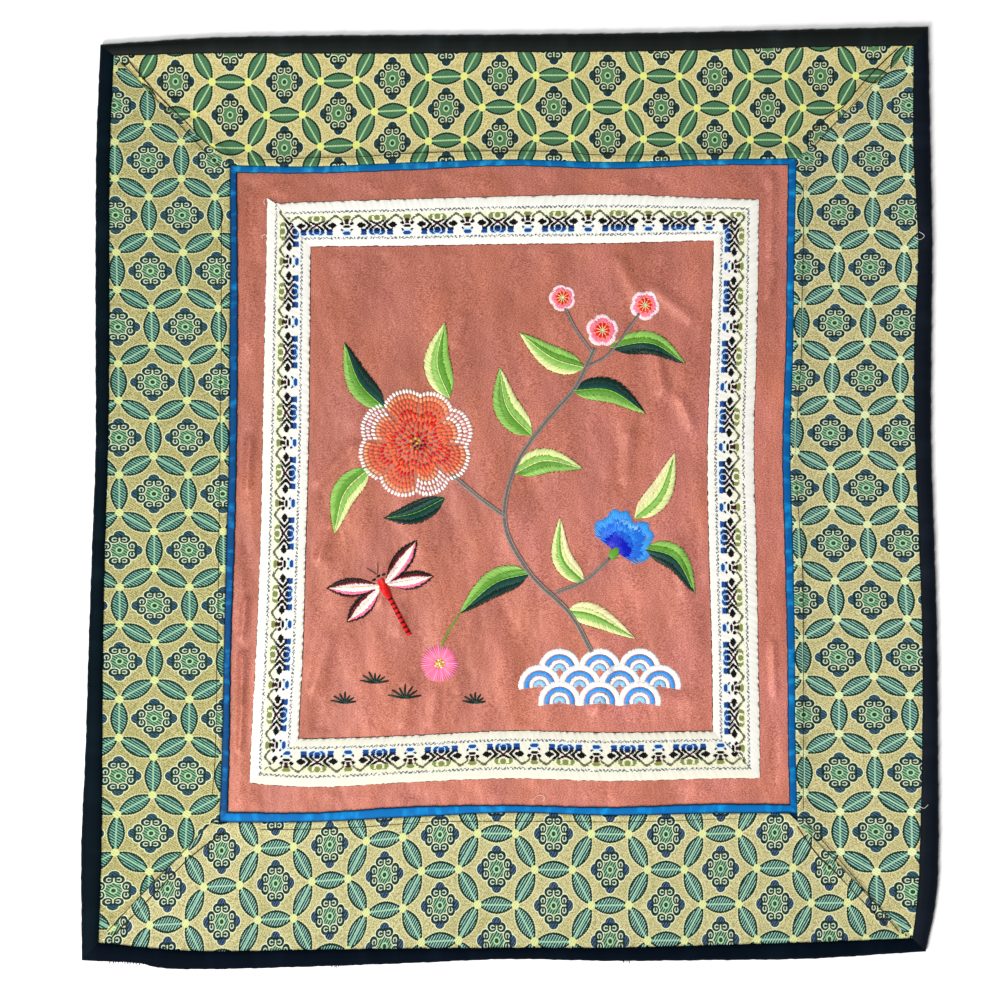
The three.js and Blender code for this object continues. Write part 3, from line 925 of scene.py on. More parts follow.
def silk_material(name, colour, glint, roughness, specular, grain_scale, glint_share, crease=0.0):
    """Glossy dyed silk: one colour that pales where the puckers across the fold catch the light.

    The last argument says how far the painted shade in the crevices along both edges of a narrow fold
    darkens it.
    """
    material, tree, shader = new_material(name, Roughness=roughness, Specular_IOR_Level=specular)
    place_in = add_node(tree, "TexCoord").outputs["Object"]
    along = add_node(tree, "UVMap", uv_map="Cloth").outputs[0]
    across = add_node(tree, "Mapping", {"Vector": along, "Scale": (1.0, 0.1, 1.0)}).outputs[0]
    streaks = add_node(tree, "TexNoise", {"Vector": across, "Scale": grain_scale, "Detail": 3.0})
    ramp = add_node(tree, "ValToRGB", {"Fac": streaks.outputs["Fac"]})
    stops = ((1 - glint_share, colour), (min(1.0, 1.25 - glint_share), glint))
    for element, (position, dye) in zip(ramp.color_ramp.elements, stops):
        element.position = position
        element.color = linear(dye)
    split = add_node(tree, "SeparateXYZ", [along])
    known = work_out(tree, {"width": split.outputs[1]}, (
        ("from_middle", "SUBTRACT", "width", FACE_MIDDLE),
        ("way_out", "ABSOLUTE", "from_middle"),
        ("past_top", "SUBTRACT", "way_out", FACE_HALF),
        ("edge", "MULTIPLY", "past_top", SHADE_SLOPE),
        ("edge_most", "MINIMUM", "edge", 1.0),
        ("edge_least", "MAXIMUM", "edge_most", 0.0),
        ("crease", "MULTIPLY", "edge_least", crease),
    ))
    # painted shade of the crevices along both edges of the fold
    dyed = paint(tree, ramp.outputs[0], ((known["crease"], linear("#02182C")),))
    yarn = add_node(tree, "TexNoise", {"Vector": place_in, "Scale": 1600.0, "Detail": 1.0})
    dress(tree, shader, dyed, yarn.outputs["Fac"], 0.3, 0.08)
    return material


# Sections of the folded strips as closed loops: share of the way between the strip's two seams,
# shift outwards, height
PIPING_SECTION = (
    (0.0, 0.0, 1.62),
    (0.0, 0.15, 1.98),
    (0.2, 0.0, 2.12),
    (0.6, 0.0, 2.05),
    (1.0, -0.2, 1.85),
    (1.0, 0.3, 1.8),
    (1.0, 3.0, 1.8),
    (1.0, 3.0, 1.6),
    (1.0, 0.0, 1.6),
    (0.1, 0.3, 1.65),
    (0.1, 0.3, 1.5),
    (1.0, 0.0, 1.5),
    (1.0, 3.0, 1.5),
    (1.0, 3.0, 1.3),
    (1.0, 0.0, 1.3),
    (0.0, 0.2, 1.3),
)
BINDING_SECTION = (
    # the layer that shows, from its inner edge out over the rim and back along the underside
    (0.0, 0.0, 2.3),
    (0.0, 0.1, 2.75),
    (0.0, 0.6, 3.15),
    (0.25, 0.0, 3.45),
    (0.5, 0.0, 3.6),
    (0.75, 0.0, 3.5),
    (0.92, 0.0, 2.7),
    (1.0, -0.15, 2.0),
    (1.0, 0.0, 1.4),
    (1.0, -0.1, 0.9),
    (1.0, -0.6, 0.4),
    (0.75, 0.0, 0.08),
    (0.3, 0.0, 0.05),
    (0.0, 0.2, 0.25),
    # the inner face of the same cloth, which holds the brocade's rim
    (0.0, 0.2, 0.75),
    (0.5, 0.0, 0.85),
    (1.0, -1.4, 1.2),
    (1.0, -1.4, 1.8),
    (0.7, 0.0, 2.75),
    (0.3, 0.0, 2.75),
    (0.0, 0.9, 2.4),
)
# The light finds each side differently: colour, colour of its glints, share that glints
PIPING_LOOKS = {
    "top": ("#0062A0", "#2AA4D8", 0.5),
    "bottom": ("#0068AE", "#0A98E2", 0.5),
    "left": ("#00457D", "#0A8CD7", 0.47),
    "right": ("#00589A", "#1098D8", 0.5),
}
# Colour, colour of its glints, strength of the gloss; the sides differ as the light finds each, painted
# light
BINDING_LOOKS = {
    "top": ("#0B1211", "#151F1E", 0.12),
    "bottom": ("#030B16", "#07121E", 0.02),
    "left": ("#041018", "#0A1A22", 0.03),
    "right": ("#0C131C", "#151C28", 0.05),
}


def make_piping(side, shift):
    """A narrow fold of blue satin, flat on the field and caught under the brocade's edge."""
    strip = folded_strip("blue_piping_" + side, side, ("pipe_inner", "pipe_outer"), PIPING_SECTION,
                         along_count=160, shift=shift)
    colour, glint, glint_share = PIPING_LOOKS[side]
    strip.data.materials.append(
        silk_material("blue_silk_" + side, colour, glint, roughness=0.5, specular=0.08,
                      grain_scale=22.0, glint_share=glint_share, crease=0.9))
    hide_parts("piping_" + side)
    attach(strip, "root")


def make_binding(side, shift):
    """The black binding, folded round the rim so that it stands a little proud of the brocade."""
    strip = folded_strip("black_binding_" + side, side, ("fold", "rim"), BINDING_SECTION,
                         along_count=200, shift=shift)
    colour, glint, specular = BINDING_LOOKS[side]
    strip.data.materials.append(
        silk_material("black_silk_" + side, colour, glint, roughness=0.6, specular=specular,
                      grain_scale=8.0, glint_share=0.5))
    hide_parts("binding_" + side)
    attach(strip, "root")


# The woven ribbon

# One half of the ribbon's repeat, from the middle of its large figure to the middle of its small
# one; the other half is its mirror. Rows run from the outer dotted line to the inner one.
RIBBON_CHART = (
    "gg..gg..gg..gg..gg..gg..gg..gg",
    ".gggg.ggg.gggg.ggg.gggg.ggg.gg",
    "..gg..gg..gg..gg..gg..gg..gg..",
    "..............................",
    "..............................",
    ".................ddd..........",
    "oo.oooo.........dddddd.....ooo",
    "ooo..ooo.......ddddddd....oooo",
    "ooo..oooo.....ddd...dddd..oooo",
    "ooo..oooo....ddd......ddd..ooo",
    "ooo..oooo..dddd........ddd.orr",
    "oo...oooo.dddd..........dd.rrr",
    "....kkkk.kkkk............d..rr",
    "..rkkkk.kkkk...k........kk..rr",
    "rrrkk..kkkk...kkkk.....kkkk.rr",
    "rrrr..kkkk..kkkkkkk....kkkk.rr",
    "rr...kkkk..kkkkkkkkk....kkk...",
    "rrr..kkkk..kkkkkkkkk.......kkk",
    ".rrkk.kkkk..kkkkkkk.......kkkk",
    "..kkkk.kkkk...kkkk.........kkk",
    "nn.kkkk.kkkk...k..............",
    "nnn.kkkk.kkknnnn........nn....",
    "nnnlnnnn..nnnnnn........nnnl.l",
    "nnnlnnnnl.nnnnnn.........nllll",
    "bbblbbbbl.bbbbbb.........l.bbb",
    "bbblbbbbl.bbbbbb..........bbbb",
    "bblbbbbl..bbbbbb..........bbbb",
    "llbbbbl...bbbbbb..........lbbb",
    "..lll......llll............lll",
    "..............................",
    ".gg..gg..gg..gg..gg..gg..gg..g",
    "gg.ggg.gg.ggg.gg.ggg.gg.ggg.gg",
    "..gg..gg..gg..gg..gg..gg..gg..",
)
RIBBON_YARNS = {
    "g": "#5C6672", "o": "#7A8848", "d": "#5C6048",
    "k": "#060606", "r": "#30101A", "n": "#061A44", "b": "#14468C", "l": "#BCDDF4",
}
CREAM_ROWS = range(3, 13)
# Where the first large figure sits, the repeat, the chart's share of the width and the plain yarn
RIBBON_PLACES = {
    "top": (-77.1, 24.1, 0.205, 0.857, "#EEEFE7"),
    "bottom": (-76.9, 24.78, 0.185, 0.845, "#E0DFD0"),
    "left": (106.6, 24.15, 0.182, 0.84, "#E8E8E0"),
    "right": (104.55, 24.05, 0.2, 0.86, "#E8E8E0"),
}
# Where the chart's empty cells are creamy, the plain yarn is multiplied by this
CREAM = (0.98, 0.99, 0.86, 1.0)
# At the upper left corner the top ribbon is cut back by the notch at its outer edge, and the left
# one runs on into the gap in a point
RIBBON_NOTCH = 3.4
RIBBON_POINT = 2.4
POINT_SLOPE = 4.5
# Share of the width that each ragged edge takes
RIBBON_EDGE = 0.05
# Mean length of each side's ribbon and length of one cell of the chart along it
RIBBON_LENGTHS = {"top": 200, "bottom": 200, "left": 222, "right": 222}
RIBBON_CELL = 0.41
# Share of the dotted lines' dots that the weave misses
MISSED_DOTS = 0.22
# How far the edges fray, how much of that the rows from an edge inwards follow, and the steps of
# its random course
FRAY_DEPTH = 0.16
FRAY_FADES = np.array((1.0, 0.35, 0.0))
FRAY_STEPS = 4000
FRAY_STEPS_A_MM = 2.5
# How far the outermost thread hangs below the ribbon's face
EDGE_DROP = 0.3


def weave(side, place_along, row, rng):
    """The colour of each cell of the ribbon, from its place along it and its row of the chart."""
    first, repeat, _, _, plain = RIBBON_PLACES[side]
    phase = np.mod((place_along - first) / repeat, 1.0)
    phase = np.minimum(phase, 1 - phase) * 2
    last_column = len(RIBBON_CHART[0]) - 1
    column = np.minimum((phase * len(RIBBON_CHART[0])).astype(int), last_column)
    yarns = {key: linear(value) for key, value in RIBBON_YARNS.items()}
    yarns["."] = np.array(linear(plain))
    yarns["cream"] = yarns["."] * CREAM
    colours = np.empty((len(row), 4), np.float32)
    for k in range(len(row)):
        inside = 0 <= row[k] < len(RIBBON_CHART)
        yarn = RIBBON_CHART[row[k]][column[k]] if inside else "."
        if yarn == "g" and rng.random() < MISSED_DOTS:
            yarn = "."
        if yarn == "." and row[k] in CREAM_ROWS:
            yarn = "cream"
        colours[k] = yarns[yarn]
    colours[:, :3] *= rng.uniform(0.94, 1.03, (len(row), 1))
    return np.clip(colours, 0, 1)


def make_ribbon(side, seed):
    """One length of woven ribbon, each face of its mesh one cell of the weaver's chart."""
    rng = np.random.default_rng(seed)
    _, _, begins, ends, _ = RIBBON_PLACES[side]
    step = (ends - begins) / len(RIBBON_CHART)
    shares = [0.0, RIBBON_EDGE]
    rows_before = len(shares)
    shares += [begins + step * k for k in range(len(RIBBON_CHART))]
    shares += [ends, 1 - RIBBON_EDGE, 1.0]
    lines = [("ribbon_outer", "ribbon_inner", share, 0.0) for share in shares]
    starts = [-RIBBON_NOTCH * (1 - share) if side == "top" else 0.0 for share in shares]
    point = [min(RIBBON_POINT + POINT_SLOPE * share, 1.2 * RIBBON_NOTCH * (1 - share))
             for share in shares]
    finishes = point if side == "left" else [0.0] * len(shares)
    columns = round(RIBBON_LENGTHS[side] / RIBBON_CELL)
    strip, u, v = grid_sheet("woven_ribbon_" + side, len(lines) - 1, columns)
    along, across, places = strip_points(side, lines, u, v, starts, finishes)
    edge = np.minimum(places, len(lines) - 1 - places)
    ragged = rng.normal(0, 1, FRAY_STEPS)
    ragged = np.convolve(ragged, np.ones(3) / 3, "same") * FRAY_DEPTH
    inner_edge = places > len(lines) // 2
    step_along = np.abs(along * FRAY_STEPS_A_MM).astype(int) + FRAY_STEPS // 4 * inner_edge
    fray = ragged[step_along % FRAY_STEPS]
    across = across + fray * FRAY_FADES[np.minimum(edge, 2)]
    x, y = on_panel(side, along, across)
    ripple = 0.05 * np.sin(along * 0.8 + seed) + 0.04 * np.sin(along * 2.3 + across)
    place(strip, x, y, RIBBON_TOP + ripple - EDGE_DROP * (edge == 0))
    corners = np.empty(len(strip.data.loops), np.int32)
    strip.data.loops.foreach_get("vertex_index", corners)
    corners = corners.reshape(-1, 4)
    row = np.round(v[corners].mean(axis=1) * (len(lines) - 1) - 0.5).astype(int) - rows_before
    colours = weave(side, along[corners].mean(axis=1), row, rng)
    layer = strip.data.color_attributes.new("yarn", "FLOAT_COLOR", "CORNER")
    layer.data.foreach_set("color", np.repeat(colours, 4, axis=0).ravel())
    thicken(strip, x, y, RIBBON_UNDERSIDE)
    smooth(strip, 70)
    strip.data.materials.append(ribbon_material(side))
    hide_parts("ribbon_" + side)
    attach(strip, "root")


def ribbon_material(side):
    """Cotton ribbon: bright white ribs crossed by coloured figure yarns, matt and slightly fuzzy."""
    material, tree, shader = new_material("ribbon_weave_" + side, Roughness=0.8,
                                          Specular_IOR_Level=0.15)
    yarns = add_node(tree, "VertexColor", layer_name="yarn").outputs[0]
    place_in = add_node(tree, "TexCoord").outputs["Object"]
    wear = add_node(tree, "TexNoise", {"Vector": place_in, "Scale": 900.0, "Detail": 2.0})
    worn = add_node(tree, "Mix", {0: 0.1, 6: yarns, 7: wear.outputs["Color"]}, data_type="RGBA",
                    blend_type="SOFT_LIGHT")
    dress(tree, shader, worn.outputs[2], wear.outputs["Fac"], 0.4, 0.1)
    return material


# Stitches

# A stitch's section as share of its half width and of its height, and its stations as share of its
# length and of its full size there
ARCH = ((-1.0, 0.0), (-0.6, 0.85), (0.6, 0.85), (1.0, 0.0))
STATIONS = ((0.05, 0.65), (0.3, 1.0), (0.7, 1.0), (0.95, 0.65))
# Only stitches longer than this rise off the ground at their middle
LIFTED_FROM = 2


def spindle_faces():
    """The faces of one stitch: its two tips are points 0 and 1, then come its stations."""
    width = len(ARCH)
    first = [2 + k for k in range(width)]
    last = [2 + (len(STATIONS) - 1) * width + k for k in range(width)]
    faces = []
    for ring in range(len(STATIONS) - 1):
        for k in range(width):
            a = 2 + ring * width + k
            b = 2 + ring * width + (k + 1) % width
            faces.append((a, a + width, b + width, b))
    for k in range(width):
        faces.append((0, first[k], first[(k + 1) % width]))
        faces.append((1, last[(k + 1) % width], last[k]))
    return faces


def thread_piece(name, stitches, ground, material):
    """Many stitches as one mesh, each a low closed spindle from end to end on the ground.

    A stitch is (x, y, x, y, half width, height, lift at its middle, colour).
    """
    rows = np.array([stitch[:7] for stitch in stitches], float)
    tints = np.array([stitch[7] for stitch in stitches], float)
    start, run = rows[:, 0:2], rows[:, 2:4] - rows[:, 0:2]
    half, height, lift = rows[:, 4], rows[:, 5], rows[:, 6]
    length = np.maximum(np.hypot(run[:, 0], run[:, 1]), 0.01)
    sideways = np.column_stack((-run[:, 1], run[:, 0])) / length[:, None]
    count = 2 + len(STATIONS) * len(ARCH)
    points = np.empty((len(rows), count, 3))
    for k, t in enumerate((0.0, 1.0)):
        tip = start + run * t
        points[:, k, :2] = tip
        points[:, k, 2] = ground(tip[:, 0], tip[:, 1])
    k = 2
    for t, size in STATIONS:
        middle = start + run * t
        base = ground(middle[:, 0], middle[:, 1]) + lift * 4 * t * (1 - t) * (length > LIFTED_FROM)
        for across, up in ARCH:
            points[:, k, :2] = middle + sideways * (half * across * size)[:, None]
            points[:, k, 2] = base + height * up * size
            k += 1
    template = spindle_faces()
    faces = [tuple(n * count + i for i in face) for n in range(len(rows)) for face in template]
    mesh = bpy.data.meshes.new(name)
    mesh.from_pydata((points.reshape(-1, 3) * MM).tolist(), [], faces)
    corners = sum(len(face) for face in template)
    layer = mesh.color_attributes.new("floss", "FLOAT_COLOR", "CORNER")
    layer.data.foreach_set("color", np.repeat(tints, corners, axis=0).astype(np.float32).ravel())
    # a flat map with one cell a stitch, in which each of its points has a place of its own
    cells = math.ceil(math.sqrt(len(rows)))
    spots = np.array([i for face in template for i in face])
    local = np.column_stack((spots % 5, spots // 5)) / 8 + 0.2
    cell = np.column_stack((np.arange(len(rows)) % cells, np.arange(len(rows)) // cells))
    uv = (np.repeat(cell, corners, axis=0) + np.tile(local, (len(rows), 1))) / cells
    mesh.uv_layers.new(name="OFBake").data.foreach_set("uv", uv.astype(np.float32).ravel())
    piece = bpy.data.objects.new(name, mesh)
    bpy.context.collection.objects.link(piece)
    smooth(piece, 75)
    piece.data.materials.append(material)
    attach(piece, "root")


def floss_material(name, roughness, specular):
    """Untwisted silk floss: each stitch in its own dye, with the soft gloss of parallel filaments."""
    material, tree, shader = new_material(name, Roughness=roughness, Specular_IOR_Level=specular)
    dye = add_node(tree, "VertexColor", layer_name="floss").outputs[0]
    place_in = add_node(tree, "TexCoord").outputs["Object"]
    strands = add_node(tree, "TexNoise", {"Vector": place_in, "Scale": 2200.0, "Detail": 1.0})
    dress(tree, shader, dye, strands.outputs["Fac"], 0.2, 0.05)
    return material


# The embroidered design: flowering stems rising from waves, with a dragonfly

DYES = {
    "pale": "#DDE8A0", "lime": "#8CBF5A", "green": "#5E9A30", "deep": "#0A4038",
    "night": "#032A22", "stem": "#8A7F78", "bark": "#6C625E", "ultra": "#0014B8",
    "blue": "#1E6CDC", "sky": "#3C9CEC", "mist": "#8CCBF5", "white": "#F8F8F4",
    "blush": "#F8DCE0", "pink": "#F27A9A", "orchid": "#F08CC8", "red": "#E01818",
    "coral": "#F0683C", "peach": "#F8A070", "maroon": "#6A0808", "cream": "#EDE6B0",
    # the last dye is the painted shade of the needle holes
    "gold": "#E0B030", "black": "#100C0E", "needle_hole_shade": "#4A1E14",
}
DYE = {name: np.array(linear(value)) for name, value in DYES.items()}
# Distance between stitches, half width of one, share of leaf stitches that leave a needle hole, marked
# by a short dark stitch of painted shade
PITCH = 0.42
HALF = 0.27
NEEDLE_HOLE_SHADES = 0.55
# How far the ends of a band stray, inside a shape and at its edge, as share of the way
BAND_STRAY = 0.09
EDGE_STRAY = 0.03
# Turn in radians from one seed of a flower's heart to the next
GOLDEN_ANGLE = 2.4
STITCHES_A_PIECE = 4500
rng = np.random.default_rng(20)
work = []


def stitch(start, end, dye, half=HALF, height=0.34, lift=0.1):
    """Adds one stitch, its dye a touch lighter or darker than its neighbours'."""
    tint = np.clip(DYE[dye] * rng.uniform(0.86, 1.12), 0, 1)
    tint[3] = 1
    work.append((*start, *end, half, height, lift, tint))


def spline(points, t):
    """A point and its direction on a smooth curve through the given points."""
    points = np.array(points, float)
    spot = min(t, 0.99999) * (len(points) - 1)
    k = int(spot)
    f = spot - k
    padded = np.vstack((2 * points[0] - points[1], points, 2 * points[-1] - points[-2]))
    p0, p1, p2, p3 = padded[k:k + 4]
    place_at = 0.5 * (2 * p1 + (p2 - p0) * f + (2 * p0 - 5 * p1 + 4 * p2 - p3) * f * f
                      + (3 * p1 - p0 - 3 * p2 + p3) * f ** 3)
    heading = 0.5 * ((p2 - p0) + 2 * (2 * p0 - 5 * p1 + 4 * p2 - p3) * f
                     + 3 * (3 * p1 - p0 - 3 * p2 + p3) * f * f)
    return place_at, heading / max(np.hypot(*heading), 0.001)


def turned(direction):
    """A direction turned by a quarter to the left."""
    return np.array((-direction[1], direction[0]))


def toward(bearing):
    return np.array((math.cos(bearing), math.sin(bearing)))


def long_of(points):
    """The length of the smooth curve through the points."""
    spots = [spline(points, t)[0] for t in np.linspace(0, 1, 20)]
    return sum(np.hypot(*(b - a)) for a, b in zip(spots, spots[1:]))


def banded(start, end, bands):
    """One line of long-and-short work: bands are (from, to, dye) shares of the way."""
    for low, high, dye in bands:
        low = low + (rng.uniform(-BAND_STRAY, BAND_STRAY) if low > 0 else 0)
        stray = BAND_STRAY if high < 1 else EDGE_STRAY
        high = high + rng.uniform(-stray, stray)
        stitch(start + (end - start) * low, start + (end - start) * high, dye)


def leaf(points, width, left, right, vein, slant=0.16, fullness=0.8):
    """A leaf in two halves, each of slanting satin stitches from the midrib out to the edge."""
    length = long_of(points)
    for way, bands in ((1, left), (-1, right)):
        for t in np.arange(0.0, 0.97, PITCH / length):
            root, _ = spline(points, t)
            ahead = min(1.0, t + slant * (1 - 0.4 * t))
            out, heading = spline(points, ahead)
            swell = math.sin(math.pi * ahead ** fullness) ** 0.85 if ahead < 1 else 0.0
            notch = 1 + 0.07 * (t * length / 2.2 % 1.0)
            edge = out + turned(heading) * way * width / 2 * swell * notch
            banded(root, edge, bands)
            # painted shade of a needle hole: a short dark stitch just past the edge
            if rng.random() < NEEDLE_HOLE_SHADES:
                past = (edge - root) / max(np.hypot(*(edge - root)), 0.1)
                stitch(edge - past * 0.15, edge + past * 0.4, "needle_hole_shade", half=0.16, height=0.12, lift=0)
    for t in np.arange(0.0, 0.9, 2.2 / length):
        a, _ = spline(points, t)
        b, _ = spline(points, min(1.0, t + 2.8 / length))
        stitch(a, b, vein, height=0.62, half=0.22)


def petal(base, tip, width, bands, waist=0.3, dome=0.3, notch=0.0):
    """A petal of long-and-short stitches that fan from its base to its rounded end."""
    base, tip = np.array(base, float), np.array(tip, float)
    axis = tip - base
    across = turned(axis / np.hypot(*axis))
    for s in np.arange(-1, 1.001, 2 * PITCH / width):
        reach = (1 - dome * s * s - dome * abs(s) ** 5) * (1 - notch * math.exp(-(s / 0.22) ** 2))
        start = base + across * s * width / 2 * waist
        end = base + axis * reach + across * s * width / 2
        banded(start, end, bands)


def stem(points, thick, dyes):
    """Rows of overlapping stem stitches side by side along a curve."""
    length = long_of(points)
    for row, dye in enumerate(dyes):
        off = (row - (len(dyes) - 1) / 2) * thick / len(dyes)
        for t in np.arange(0.0, 1.0 - 1.5 / length, 1.5 / length):
            a, head_a = spline(points, t)
            b, head_b = spline(points, min(1.0, t + 3.0 / length))
            stitch(a + turned(head_a) * (off - 0.12), b + turned(head_b) * (off + 0.12), dye,
                   half=0.36, height=0.5)


def seed(middle, direction, dye, size=0.95):
    """A short fat stitch, like a grain of rice."""
    direction = np.array(direction) / np.hypot(*direction)
    stitch(middle - direction * size, middle + direction * size, dye, half=0.52, height=0.75, lift=0)


def seed_petal(middle, angle, near, far, spread, dyes):
    """A fan of seed stitches in arcs, its dyes from the outer arc inwards."""
    arc_pitch = 2.05
    seed_pitch = 1.3
    arcs = int((far - near) / arc_pitch)
    for arc in range(arcs):
        radius = far - arc * arc_pitch
        hollow = 1.0 - 0.35 * arc / arcs
        count = max(2, round(2 * spread * hollow * radius / seed_pitch))
        for s in np.linspace(-1, 1, count):
            outward = toward(angle + s * spread * hollow)
            spot = middle + (radius - 1.9 * abs(s) ** 2.5) * outward
            spot = spot + rng.uniform(-0.12, 0.12, 2)
            seed(spot, outward, dyes[min(arc, len(dyes) - 1)])


def seed_bloom(middle):
    """The big bloom: two rings of seed-stitch petals round a red heart."""
    pale = ("white", "blush", "white", "peach", "coral", "coral")
    warm = ("white", "peach", "coral", "coral", "red", "coral")
    for k in range(8):
        angle = math.radians(20 + 45 * k)
        seed_petal(middle, angle, 8.5, 22.0 + 1.2 * math.sin(5 * k), 0.36, warm if k % 3 else pale)
    for k in range(6):
        angle = math.radians(-10 + 60 * k)
        seed_petal(middle, angle, 3.0, 11.6, 0.46, ("coral", "red", "coral", "red"))
    for k in range(16):
        outward = toward(GOLDEN_ANGLE * k)
        seed(middle + 0.85 * math.sqrt(k) * outward, outward, "maroon" if k % 3 else "gold", 0.6)


# A side-on bloom's petals from back to front: turn, reach, width and whether it is the front one
BLOOM_PETALS = (
    (-62, 0.95, 0.8, False),
    (60, 0.95, 0.8, False),
    (-28, 1.12, 0.85, False),
    (28, 1.1, 0.85, False),
    (0, 0.85, 0.95, True),
)


def long_bloom(middle, size, facing):
    """A side-on bloom in long-and-short blues, its petals overlapping from back to front."""
    back = ((0.0, 0.5, "ultra"), (0.4, 0.8, "blue"), (0.72, 1.0, "sky"))
    front = ((0.0, 0.35, "ultra"), (0.28, 0.62, "blue"), (0.55, 0.85, "sky"), (0.8, 1.0, "mist"))
    for turn, reach, width, in_front in BLOOM_PETALS:
        tip = middle + size * reach * toward(math.radians(facing + turn))
        petal(middle, tip, size * width, front if in_front else back, waist=0.25, dome=0.22, notch=0.08)


def plum_blossom(middle, radius, turn):
    """Five round petals of pink satin about gold stamens."""
    bands = ((0.0, 0.45, "red"), (0.32, 0.75, "pink"), (0.66, 1.0, "blush"))
    for k in range(5):
        outward = toward(math.radians(turn + 72 * k))
        petal(middle + outward, middle + outward * radius, radius * 1.12, bands, waist=0.22, dome=0.24)
    for k in range(10):
        outward = toward(math.radians(turn + 36 * k))
        stitch(middle, middle + outward * radius * 0.42, "cream", half=0.16, height=0.6)
        seed(middle + outward * radius * 0.46, outward, "gold", 0.3)


def daisy(middle, radius):
    """A ring of straight single stitches in two pinks about a pale centre."""
    rays = 46
    for k in range(rays):
        outward = toward(2 * math.pi * k / rays)
        stitch(middle + outward * radius * 0.22, middle + outward * radius * rng.uniform(0.94, 1.04),
               "pink" if k % 4 else "orchid", half=0.42, height=0.5)
    for k in range(14):
        outward = toward(GOLDEN_ANGLE * k)
        seed(middle + outward * 0.55 * math.sqrt(k), outward, "gold" if k % 2 else "cream", 0.45)


WAVE_RADIUS = 8.6
WAVES = (
    # middles of the wave scales, from the back row to the front one
    ((20.0, -68.5), (36.0, -68.5), (52.0, -68.5)),
    ((12.0, -75.0), (28.0, -75.0), (44.0, -75.0), (60.0, -75.0)),
    ((20.0, -81.5), (36.0, -81.5), (52.0, -81.5)),
)
# Outer and inner radius as share of the scale's, and the dye of each ring
WAVE_BANDS = ((1.0, 0.72, "white"), (0.7, 0.5, "sky"), (0.48, 0.3, "white"), (0.28, 0.06, "mist"))


def waves():
    """Scale-shaped waves, each ring of it radial satin; a scale hides what lies behind it."""
    for row, scales in enumerate(WAVES):
        nearer = [middle for later in WAVES[row + 1:] for middle in later]
        for middle in scales:
            for outer, inner, dye in WAVE_BANDS:
                span = math.pi * WAVE_RADIUS * outer
                for bearing in np.linspace(-0.15, math.pi + 0.15, int(span / PITCH)):
                    outward = toward(bearing) * WAVE_RADIUS
                    a = middle + outward * inner
                    b = middle + outward * (outer + rng.uniform(-0.02, 0.02))
                    centre = (a + b) / 2
                    if all(np.hypot(*(centre - other)) > WAVE_RADIUS * 0.98 for other in nearer):
                        stitch(a, b, dye)


def dragonfly(middle, facing):
    """Four narrow wings with black edges, and a long barred body."""
    def around(turn, distance):
        return middle + distance * toward(math.radians(facing + turn))

    inner = ((0.0, 0.5, "white"), (0.42, 0.8, "pink"), (0.74, 1.0, "black"))
    outer = ((0.0, 0.42, "blush"), (0.36, 0.7, "maroon"), (0.66, 1.0, "black"))
    for turn, reach in ((62, 23), (104, 20), (-62, 23), (-104, 20)):
        spine = (around(turn * 0.6, 2.0), around(turn * 0.97, reach * 0.5), around(turn, reach))
        leaf(spine, 7.2, inner if turn > 0 else outer, outer if turn > 0 else inner, "cream",
             slant=0.22, fullness=1.25)
    side = turned(toward(math.radians(facing)))
    tail_ends_at = -4
    for k, distance in enumerate(np.arange(-21.0, 4.0, PITCH)):
        spot = around(0, distance)
        half = 1.05 if distance < tail_ends_at else 1.9 - 0.12 * abs(distance)
        dye = ("red", "red", "red", "black", "maroon")[k % 5] if distance < tail_ends_at else "red"
        stitch(spot - side * half, spot + side * half, dye, height=0.6, lift=0.35)
    for turn in (-24, 0, 24):
        seed(around(turn, 5.4), (1.0, 0.4), "black", 0.8)
    for turn in (-14, 14):
        stitch(around(0, 6.0), around(turn, 11.0), "black", half=0.16)


def tuft(middle, size):
    """A tuft of grass: straight stitches fanned from one root."""
    for bearing in (12, 38, 62, 88, 112, 140, 166):
        reach = size * rng.uniform(0.8, 1.1)
        outward = toward(math.radians(bearing)) * (1.0, 0.8)
        stitch(middle, middle + outward * reach, "night", half=0.42, height=0.5)


FRESH = ((0.0, 0.55, "lime"), (0.45, 1.0, "pale"))
RIPE = ((0.0, 0.55, "green"), (0.45, 1.0, "lime"))
SHADE = ((0.0, 0.6, "deep"), (0.5, 1.0, "night"))
MILKY = ((0.0, 0.5, "pale"), (0.42, 1.0, "cream"))
LEAVES = (
    # middle line from stalk to tip, width, the two halves and the dye of the vein
    (((2, 10), (14, 15), (29, 12)), 10.0, FRESH, RIPE, "cream"),
    (((9, 25), (-1, 36), (-4, 52)), 10.5, RIPE, FRESH, "pale"),
    (((25, 43), (40, 43), (54, 34)), 9.5, SHADE, RIPE, "lime"),
    (((30, 52), (17, 56), (4, 66)), 9.5, FRESH, RIPE, "pale"),
    (((40, 60), (56, 62), (70, 54)), 9.0, RIPE, SHADE, "lime"),
    (((8, -30), (-6, -34), (-20, -46)), 10.5, SHADE, RIPE, "lime"),
    (((23, -45), (34, -47), (50, -56)), 9.0, MILKY, FRESH, "green"),
    (((-24, 40), (-29, 54), (-26, 70)), 10.5, FRESH, RIPE, "pale"),
    (((-50, 36), (-60, 46), (-66, 62)), 10.0, RIPE, SHADE, "lime"),
    (((-56, 12), (-66, 2), (-70, -14)), 10.0, FRESH, RIPE, "cream"),
    (((-26, 0), (-38, -6), (-50, -8)), 8.5, SHADE, SHADE, "green"),
    (((50, -8), (60, 2), (66, 18)), 9.5, MILKY, FRESH, "green"),
    (((54, -20), (66, -24), (74, -38)), 9.5, RIPE, SHADE, "lime"),
    (((30, -34), (21, -24), (20, -8)), 8.0, FRESH, MILKY, "green"),
)
BARKY = ("stem", "bark", "stem")
TWIGGY = ("stem", "bark")
